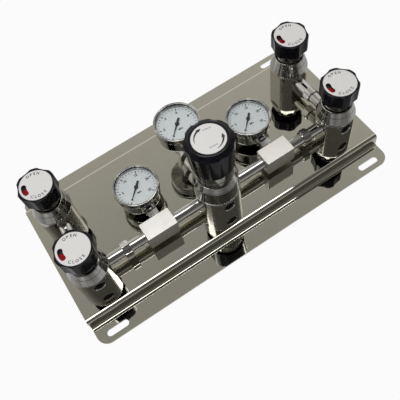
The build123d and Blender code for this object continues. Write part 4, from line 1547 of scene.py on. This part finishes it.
class MANIFOLD_OT_regulator_knob(Maker, bpy.types.Operator):
    """Tall tapered black knob and its printed label"""

    bl_idname = "manifold.regulator_knob"
    bl_label = "Regulator knob"

    def make(self, scene):
        sizes = scene.manifold_regulator
        finishes = scene.manifold_finishes
        axis = REGULATOR_AXIS
        low = floor_of("regulator_knob")
        top = roof_of("regulator_knob")
        label_floor = floor_of("regulator_label")
        brow = top - sizes.shoulder
        ceiling = label_floor - sizes.knob_roof
        hub_foot = ceiling - sizes.hub_length
        head_room = roof_of("regulator_bonnet") + 2.0 * MM
        recess = sizes.label + LABEL_GAP
        rule = lobe_rule(sizes.knob_high, sizes.scallop_inside, sizes, 0.0)
        line = rounded([
            (0, label_floor), (0, ceiling), (sizes.knob_bore, ceiling), (sizes.knob_bore, hub_foot),
            (sizes.hub, hub_foot, 0.3 * MM), (sizes.hub, ceiling, 0.5 * MM),
            (sizes.knob_inside, ceiling, 0.8 * MM), (sizes.knob_inside, head_room),
            (sizes.knob_skirt, head_room), (sizes.knob_skirt, low, 0.3 * MM),
            (sizes.knob_low, low, 0.5 * MM), (sizes.knob_high, brow, 1.0 * MM),
            (sizes.knob_high, brow + 1.5 * MM, 1.6 * MM), (sizes.knob_top, top, 1.2 * MM),
            (recess, top, 0.2 * MM), (recess, label_floor),
        ], steps=5)
        piece = new_piece("regulator_scalloped_knob", placed(revolved("knob", line, GRIP_STEPS, rule), axis))
        mark_axis(smoothed(piece, 0.0, 50.0), axis)
        plastic = moulded("knob_black", finishes.plastic, top - 0.8 * MM)
        dressed(piece, plastic, "pressure_knob", "knob_plastic", "regulator_knob")
        film = label_film("knob_label_film", finishes.film, sizes.label - 0.6 * MM)
        line = [(0, label_floor), (sizes.label, label_floor), (sizes.label, top, 0.15 * MM), (0, top)]
        disc = new_piece("regulator_label_disc", placed(revolved("label", rounded(line, steps=3)), axis))
        mark_axis(smoothed(disc), axis)
        dressed(disc, film, "pressure_knob", "label_white", "regulator_label")
        self.printing(sizes, finishes, Vector((axis.x, axis.y, top)))

    def printing(self, sizes, finishes, centre):
        """Two arrows and two words on the label."""
        thickness = 0.08 * MM
        marks = [self.arrow(sizes, radians(166), radians(90)), self.arrow(sizes, radians(-86), radians(-10))]
        arrows = new_piece("regulator_label_arrows", joined("arrows", marks))
        arrows.data.transform(Matrix.Translation(centre))
        black = printed_ink("black_ink", tuple(finishes.ink_colour))
        dressed(arrows, black, "pressure_knob", "label_white")
        words = []
        for word, spot in (("INCREASE", (4.9 * MM, 10.8 * MM, 0)), ("DECREASE", (-0.7 * MM, -10.1 * MM, 0))):
            mesh = lettering("words", word, sizes.words_size, thickness)
            mesh.transform(Matrix.Translation(spot) @ Matrix.Rotation(sizes.words_turn, 4, "Z"))
            words.append(mesh)
        text = new_piece("regulator_label_words", joined("words", words))
        text.data.transform(Matrix.Translation(centre))
        faint = printed_ink("faint_ink", tuple(finishes.faint_ink_colour))
        dressed(text, faint, "pressure_knob", "label_white")

    @staticmethod
    def arrow(sizes, start, end):
        """Curved arrow that widens towards its head."""
        radius = sizes.label - 4.0 * MM
        steps = 20
        head_share = 0.24
        tail = 0.25 * MM
        widening = 0.85 * MM
        wide = 2.1 * MM
        sunk, thickness = -0.02 * MM, 0.08 * MM
        neck = end - (end - start) * head_share
        outer = []
        inner = []
        for k in range(steps + 1):
            angle = start + (neck - start) * k / steps
            half = tail + widening * k / steps
            outer.append(((radius + half) * cos(angle), (radius + half) * sin(angle)))
            inner.append(((radius - half) * cos(angle), (radius - half) * sin(angle)))
        head = [(reach * cos(turn), reach * sin(turn))
                for reach, turn in ((radius + wide, neck), (radius, end), (radius - wide, neck))]
        return prism("arrow", outer + head + inner[::-1], sunk, thickness)


class MANIFOLD_OT_gauge_cases(Maker, bpy.types.Operator):
    """Gauge cases with their stems, bezels and windows"""

    bl_idname = "manifold.gauge_cases"
    bl_label = "Gauge cases"

    def make(self, scene):
        sizes = scene.manifold_gauge
        finishes = scene.manifold_finishes
        case_steel = steel("drawn_case", finishes.gauge, "rings")
        bezel_steel = steel("polished_bezel", finishes.gauge, "rings")
        glass = clear_glass("window_glass")
        for name in GAUGES:
            axis = GAUGE_AXES[name]
            top = roof_of(f"{name}_gauge_bezel")
            low, high = (box.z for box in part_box(f"{name}_gauge_glass"))
            piece = new_piece(f"{name}_drawn_case", placed(self.case(sizes, top, low), axis))
            smoothed(piece)
            if name == "centre":
                stem = self.back_stem(sizes, top - sizes.depth, axis)
            else:
                stem = self.side_stem(sizes, name, axis)
            piece.data = joined(piece.name, [piece.data, stem])
            mark_axis(smoothed(piece), axis)
            dressed(piece, case_steel, ROOT, "gauge_steel", f"{name}_gauge_case")
            ring = new_piece(f"{name}_rolled_bezel", placed(self.bezel(sizes, top), axis))
            mark_axis(smoothed(ring), axis)
            dressed(ring, bezel_steel, ROOT, "bezel_steel", f"{name}_gauge_bezel")
            edge = 0.2 * MM
            line = rounded([(0, low), (sizes.case, low, edge), (sizes.case, high, edge), (0, high)], steps=2)
            pane = new_piece(f"{name}_clear_window", placed(revolved("pane", line), axis))
            dressed(smoothed(pane), glass, ROOT, "gauge_glass", f"{name}_gauge_glass")

    @staticmethod
    def case(sizes, top, rim):
        """Drawn cup with a post under the dial."""
        low = top - sizes.depth
        floor = low + sizes.wall
        inside = sizes.case - sizes.wall
        hub_top = top - sizes.hub_drop
        return revolved("case", rounded([
            (0, low), (sizes.case, low, 2.2 * MM), (sizes.case, rim), (inside, rim),
            (inside, floor, 1.2 * MM), (sizes.hub, floor), (sizes.hub, hub_top), (0, hub_top),
        ], steps=6))

    @staticmethod
    def bezel(sizes, top):
        """Rolled ring with a lip over the glass."""
        inside = sizes.case + 0.05 * MM
        low = top - sizes.bezel_height
        lip = sizes.bezel - sizes.lip
        under = top - sizes.lip_thickness
        return revolved("bezel", rounded([
            (inside, low), (sizes.bezel, low, 0.6 * MM), (sizes.bezel, top, 2.4 * MM),
            (lip, top - 0.1 * MM, 0.5 * MM), (lip, under), (inside, under),
        ], steps=6), BEZEL_STEPS)

    @staticmethod
    def side_stem(sizes, name, axis):
        """Boss, square and thread that leave the case towards the tee block."""
        case_low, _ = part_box(f"{name}_gauge_case")
        at = Vector((axis.x, axis.y, PORT_HEIGHT))
        front = Vector((0, -1, 0))
        reach = axis.y - case_low.y
        start, boss_end, square_end, end = (at + front * away for away in (
            sizes.boss_start, sizes.boss_end, sizes.boss_end + sizes.square_length, reach,
        ))
        return joined("stem", [
            tube("boss", start, boss_end, sizes.boss, sizes.stem_bore),
            tube("thread", square_end, end, sizes.stem, sizes.stem_bore),
            square_bar("square", boss_end, square_end, sizes.square),
        ])

    @staticmethod
    def back_stem(sizes, low, axis):
        """Square and thread that stand in the elbow."""
        elbow_top = roof_of("gauge_elbow")
        foot, square_foot, square_top, end = (Vector((axis.x, axis.y, height)) for height in (
            elbow_top - sizes.back_thread, elbow_top + sizes.seat, low - sizes.seat, low + sizes.wall,
        ))
        return joined("stem", [
            tube("thread", foot, square_foot, sizes.stem, sizes.stem_bore),
            square_bar("square", square_foot, square_top, sizes.square),
            tube("neck", square_top, end, sizes.back_neck, sizes.stem_bore),
        ])


class MANIFOLD_OT_gauge_dials(Maker, bpy.types.Operator):
    """Dials with ticks and numbers, and their pointers"""

    bl_idname = "manifold.gauge_dials"
    bl_label = "Gauge dials"

    def make(self, scene):
        sizes = scene.manifold_gauge
        finishes = scene.manifold_finishes
        ink = printed_ink("black_ink", tuple(finishes.ink_colour))
        enamel = dial_enamel("dial_enamel", tuple(finishes.dial_colour), sizes.dial_rim)
        tree = tick_tree()
        for name in GAUGES:
            axis = GAUGE_AXES[name]
            low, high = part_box(f"{name}_gauge_dial")
            reach = (high.x - low.x) / 2
            hole = sizes.dial_bore
            line = [(hole, low.z), (reach, low.z), (reach, high.z, 0.15 * MM), (hole, high.z)]
            mesh = revolved("dial", rounded(line, steps=2))
            dial = new_piece(f"{name}_enamel_dial", placed(mesh, axis))
            mark_axis(smoothed(dial), axis)
            dressed(dial, enamel, ROOT, "dial_white", f"{name}_gauge_dial")
            scale = (sizes.outlet_scale if name == "centre" else sizes.inlet_scale).split()
            marks = new_piece(f"{name}_dial_marks", self.marks(sizes, tree, scale, ink))
            marks.data.transform(Matrix.Translation(Vector((axis.x, axis.y, high.z))))
            dressed(marks, ink, ROOT, "dial_white")
            self.pointer(sizes, name, axis, high.z, finishes)

    @staticmethod
    def marks(sizes, tree, scale, ink):
        """Ticks, numbers and unit of one dial, about the origin."""
        steps = len(scale) - 1
        values = {
            "Count": steps * sizes.ticks_between + 1, "Every": sizes.ticks_between, "Zero": sizes.zero,
            "Sweep": sizes.sweep, "Radius": sizes.tick_radius, "Long": sizes.tick_long,
            "Short": sizes.tick_short, "Width": sizes.tick_width, "Thickness": PRINT_THICKNESS, "Ink": ink,
        }
        meshes = [loosened(repeated("ticks", tree, values))]
        for i, number in enumerate(scale):
            angle = sizes.zero - sizes.sweep * i / steps
            mesh = lettering("number", number, sizes.number_size, PRINT_THICKNESS, sizes.number_weight)
            spot = (sizes.number_radius * cos(angle), sizes.number_radius * sin(angle), 0)
            mesh.transform(Matrix.Translation(spot))
            meshes.append(mesh)
        unit = lettering("unit", "MPa", sizes.unit_size, PRINT_THICKNESS, sizes.unit_weight)
        unit.transform(Matrix.Translation((0, -sizes.unit_drop, 0)))
        return joined("marks", meshes + [unit])

    @staticmethod
    def pointer(sizes, name, axis, dial_top, finishes):
        """Tapered blade, turned to zero, on its hub."""
        low = dial_top + sizes.pointer_gap
        high = low + sizes.pointer
        outline = [(x * MM, y * MM) for x, y in POINTER_EDGE]
        outline += [(x * MM, -y * MM) for x, y in reversed(POINTER_EDGE[1:])]
        blade = new_piece("blade", prism("blade", outline, low, high))
        smoothed(blade, 0.08 * MM, 40.0)
        blade.data.transform(Matrix.Rotation(sizes.zero, 4, "Z"))
        pin = 0.7 * MM
        collar = 2.4 * MM
        soft = 0.3 * MM
        hub_line = rounded([
            (0, dial_top), (pin, dial_top), (pin, low), (collar, low, CRISP), (collar, high, soft),
            (1.6 * MM, high + 0.7 * MM, soft), (0, high + 0.8 * MM),
        ], steps=3)
        hub = revolved("hub", hub_line, HUB_STEPS)
        piece = new_piece(f"{name}_tapered_pointer", joined("pointer", [loosened(blade), hub]))
        piece.data.transform(Matrix.Translation(axis))
        smoothed(piece)
        material = printed_ink("pointer_lacquer", tuple(finishes.ink_colour))
        dressed(piece, material, f"{name}_pointer", "pointer_black", f"{name}_gauge_pointer")


class MANIFOLD_OT_gauge_fittings(Maker, bpy.types.Operator):
    """Hexagon adapter behind the regulator, and the forged elbow's finish"""

    bl_idname = "manifold.gauge_fittings"
    bl_label = "Gauge fittings"

    def make(self, scene):
        finishes = scene.manifold_finishes
        sizes = scene.manifold_ports
        pipe = steel("polished_pipe", finishes.pipe, "rings")
        hexagon_across = 20.0 * MM
        hexagon_length = 9.0 * MM
        collar_radius = 11.0 * MM
        low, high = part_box("gauge_adapter")
        x = (low.x + high.x) / 2
        hexagon_end = floor_y("gauge_elbow") - 5.0 * MM
        start, collar_start, hexagon_start, hexagon_stop, end = (Vector((x, y, PORT_HEIGHT)) for y in (
            low.y, REGULATOR_AXIS.y + 27.3 * MM, hexagon_end - hexagon_length, hexagon_end, high.y,
        ))
        piece = new_piece("hexagon_adapter", joined("adapter", [
            tube("run", start, end, sizes.pipe, sizes.bore),
            tube("collar", collar_start, hexagon_start, collar_radius, sizes.bore),
            hexagon_nut("hexagon", hexagon_start, hexagon_stop, hexagon_across),
        ]))
        mark_axis(smoothed(piece), (start + end) / 2, (0, 1, 0))
        dressed(piece, pipe, ROOT, "pipe_steel", "gauge_adapter")
        paint_node("gauge_elbow", steel("forged_steel", finishes.forged, "plain"))


def floor_y(node):
    """Lowest y of a CAD node."""
    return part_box(node)[0].y


def paint_node(node, material):
    """Give a CAD node that stays in view its material."""
    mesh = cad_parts[node].data
    mesh.materials.clear()
    mesh.materials.append(material)


class MANIFOLD_OT_range_spring(Maker, bpy.types.Operator):
    """Range spring that the button presses on, wound at one fixed length"""

    bl_idname = "manifold.range_spring"
    bl_label = "Range spring"

    def make(self, scene):
        sizes = scene.manifold_regulator
        node = "regulator_spring"
        low = floor_of(node)
        high = roof_of(node)
        spring = coil_spring("wound_range_spring", sizes, low, high)
        piece = smoothed(new_piece("wound_range_spring", placed(spring, REGULATOR_AXIS)))
        material = steel("spring_wire", scene.manifold_finishes.inner, "plain")
        dressed(piece, material, ROOT, "spring_steel", node)
        left = 1.0 - sizes.spring_travel / (high - low)
        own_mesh(piece)


class MANIFOLD_OT_inner_parts(Maker, bpy.types.Operator):
    """Finishes of the stems and the other pieces inside"""

    bl_idname = "manifold.inner_parts"
    bl_label = "Inner parts"

    def make(self, scene):
        material = steel("ground_steel", scene.manifold_finishes.inner, "plain")
        inside = [f"{corner}_valve_stem" for corner in CORNERS]
        parts = ("diaphragm", "poppet", "spring_button", "adjusting_screw")
        inside += [f"regulator_{part}" for part in parts]
        for node in inside:
            paint_node(node, material)


class MANIFOLD_OT_studio(Maker, bpy.types.Operator):
    """Camera, lamps, floor and surroundings"""

    bl_idname = "manifold.studio"
    bl_label = "Studio"

    def make(self, scene):
        studio = scene.manifold_studio
        camera = bpy.data.cameras.new("camera")
        camera.lens = studio.lens
        camera.sensor_width = studio.sensor
        camera.sensor_fit = "HORIZONTAL"
        camera.clip_start = studio.clip
        holder = bpy.data.objects.new("camera", camera)
        scene.collection.objects.link(holder)
        holder.location = studio.camera_at
        holder.rotation_euler = studio.camera_turn
        scene.camera = holder
        scene.view_settings.view_transform = "Standard"
        overhead = self.lamp("overhead_lamp", studio.overhead, studio.overhead_width, studio.overhead_depth)
        self.aimed(overhead, studio.overhead_at, studio.overhead_aim)
        fill = self.lamp("fill_lamp", studio.fill, studio.fill_size, studio.fill_size)
        self.aimed(fill, studio.fill_at, studio.fill_aim)
        fill.visible_glossy = False
        self.floor(studio)
        self.sky(scene, studio)

    @staticmethod
    def lamp(name, watts, width, depth):
        """Rectangular lamp at the origin."""
        light = bpy.data.lights.new(name, "AREA")
        light.shape = "RECTANGLE"
        light.size = width
        light.size_y = depth
        light.energy = watts
        return new_piece(name, light)

    @staticmethod
    def aimed(holder, at, target):
        """Put a lamp at a point and face it towards another."""
        holder.location = at
        aim = Vector(target) - Vector(at)
        holder.rotation_euler = Vector((0, 0, -1)).rotation_difference(aim).to_euler()

    @staticmethod
    def seen_directly(graph, in_metal):
        """1 for rays from the camera or through glass, and the given share for those from metal."""
        rays = graph.add("ShaderNodeLightPath")
        through = rays.other("Is Camera Ray").most(rays.other("Is Transmission Ray"))
        return through.most(rays.other("Is Glossy Ray") * in_metal)

    def floor(self, studio):
        """Pale ground: white to the camera, darker in metal, most of all in front of the part."""
        half = studio.floor_half
        corners = [(-half, -half, 0), (half, -half, 0), (half, half, 0), (-half, half, 0)]
        floor = new_piece("floor", mesh_from("floor", corners, [(0, 1, 2, 3)]))
        floor.location.z = -studio.floor_gap
        material = bpy.data.materials.new("pale_floor")
        material.use_nodes = True
        graph = Graph(material.node_tree)
        patch = graph.noise(graph.place(), scale=3.0, detail=2.0)
        tone = graph.mix(patch, (0.38, 0.38, 0.38, 1.0), (0.42, 0.42, 0.42, 1.0))
        matt = graph.add("ShaderNodeBsdfPrincipled", None, {"Base Color": tone, "Roughness": 0.9})
        glow = graph.add("ShaderNodeEmission", None, {"Color": WHITE, "Strength": 1.0})
        x, y, _ = graph.split(graph.place())
        lit = y.above(studio.dark_front, blur=0.08).most(x.above(studio.lit_right, blur=0.12))
        front_share = 0.25  # of its light stays on the dark part of the floor
        in_metal = (lit * (1.0 - front_share) + front_share) * studio.in_metal
        seen = self.seen_directly(graph, in_metal) * 0.95
        mixed = graph.add("ShaderNodeMixShader", None, {0: seen, 1: matt, 2: glow})
        graph.add("ShaderNodeOutputMaterial", None, {"Surface": mixed})
        floor.data.materials.append(material)

    def sky(self, scene, studio):
        """Surroundings: grey above, bright behind and low down, with one pane to the right."""
        world = bpy.data.worlds.new("studio")
        scene.world = world
        world.use_nodes = True
        graph = Graph(world.node_tree)
        way = graph.add("ShaderNodeTexCoord", None, None, "Generated")
        x, y, z = graph.split(way)
        high = z.above(edge=0.42, blur=0.40)
        back = y.above(edge=0.05, blur=0.60)
        overhead = z.above(edge=0.84, blur=0.22)
        grey = 0.13 + back * (0.45 - overhead * 0.20)
        low = 0.22 + y.above(edge=-0.10, blur=0.50) * 0.78
        pane = x.above(edge=0.38, blur=0.06)
        pane *= y.between(low=0.06, high=0.24, blur=0.05) * z.between(low=0.80, high=0.93, blur=0.05)
        bright = (1.0 - high) * low + high * grey + pane * 0.8
        tone = graph.vector(bright, bright * (0.99 - high * 0.01), bright * (0.98 - high * 0.05))
        tone = graph.mix(self.seen_directly(graph, 0.0), tone, WHITE)
        strength = self.seen_directly(graph, 1.0) * (1.0 - studio.sky) + studio.sky
        light = graph.add("ShaderNodeBackground", None, {"Color": tone, "Strength": strength})
        graph.add("ShaderNodeOutputWorld", None, {"Surface": light})


class MANIFOLD_PT_sidebar(bpy.types.Panel):
    """Lists the pieces that can be made"""

    bl_label = "Gas manifold"
    bl_idname = "MANIFOLD_PT_sidebar"
    bl_space_type = "VIEW_3D"
    bl_region_type = "UI"
    bl_category = "Manifold"

    def draw(self, context):
        for operator in OPERATORS:
            self.layout.operator(operator.bl_idname)


OPERATORS = (
    MANIFOLD_OT_back_plate,
    MANIFOLD_OT_panel_screws,
    MANIFOLD_OT_valve_bodies,
    MANIFOLD_OT_valve_bonnets,
    MANIFOLD_OT_handwheels,
    MANIFOLD_OT_valve_labels,
    MANIFOLD_OT_indicators,
    MANIFOLD_OT_tee_blocks,
    MANIFOLD_OT_pipes,
    MANIFOLD_OT_regulator,
    MANIFOLD_OT_regulator_knob,
    MANIFOLD_OT_gauge_cases,
    MANIFOLD_OT_gauge_dials,
    MANIFOLD_OT_gauge_fittings,
    MANIFOLD_OT_range_spring,
    MANIFOLD_OT_inner_parts,
    MANIFOLD_OT_studio,
)
GROUPS = (
    FinishLook,
    ManifoldFinishes,
    PlateSizes,
    ScrewSizes,
    PortSizes,
    ValveSizes,
    IndicatorSectors,
    RegulatorSizes,
    GaugeSizes,
    StudioSettings,
)
SCENE_SETTINGS = {
    "manifold_finishes": ManifoldFinishes,
    "manifold_plate": PlateSizes,
    "manifold_screws": ScrewSizes,
    "manifold_ports": PortSizes,
    "manifold_valve": ValveSizes,
    "manifold_sectors": IndicatorSectors,
    "manifold_regulator": RegulatorSizes,
    "manifold_gauge": GaugeSizes,
    "manifold_studio": StudioSettings,
}
FINISH_DEFAULTS = {
    "sheet": ((0.535, 0.525, 0.45), 0.035, 0.02, 0.0, 0.10),
    "body": ((0.48, 0.47, 0.445), 0.12, 0.04, 0.05, 0.01),
    "bonnet": ((0.40, 0.395, 0.375), 0.06, 0.05, 0.10, 0.02),
    "block": ((0.76, 0.75, 0.72), 0.40, 0.06, 0.10, 0.20),
    "pipe": ((0.68, 0.67, 0.63), 0.08, 0.05, 0.08, 0.08),
    "forged": ((0.50, 0.50, 0.48), 0.32, 0.12, 0.30, 0.40),
    "inner": ((0.50, 0.50, 0.48), 0.25, 0.10, 0.20, 0.20),
    "gauge": ((0.58, 0.58, 0.57), 0.07, 0.05, 0.10, 0.06),
    "plastic": ((0.004, 0.004, 0.006), 0.12, 0.06, 0.0, 0.08),
    "film": ((0.76, 0.75, 0.74), 0.35, 0.12, 0.0, 0.10),
}


def register():
    for group in GROUPS + OPERATORS + (MANIFOLD_PT_sidebar,):
        bpy.utils.register_class(group)
    for name, group in SCENE_SETTINGS.items():
        setattr(bpy.types.Scene, name, PointerProperty(type=group))


def unregister():
    for name in SCENE_SETTINGS:
        delattr(bpy.types.Scene, name)
    for group in reversed(GROUPS + OPERATORS + (MANIFOLD_PT_sidebar,)):
        bpy.utils.unregister_class(group)


def set_finishes(finishes):
    """Give each finish its colour, roughness, smudge, grain contrast and grain depth."""
    for name, (colour, roughness, smudge, contrast, depth) in FINISH_DEFAULTS.items():
        look = getattr(finishes, name)
        look.colour = colour
        look.roughness = roughness
        look.smudge = smudge
        look.grain_contrast = contrast
        look.grain_depth = depth


def main():
    """Register the add-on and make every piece."""
    register()
    set_finishes(bpy.context.scene.manifold_finishes)
    for operator in OPERATORS:
        group, action = operator.bl_idname.split(".")
        getattr(getattr(bpy.ops, group), action)()


if __name__ == "__main__":
    main()
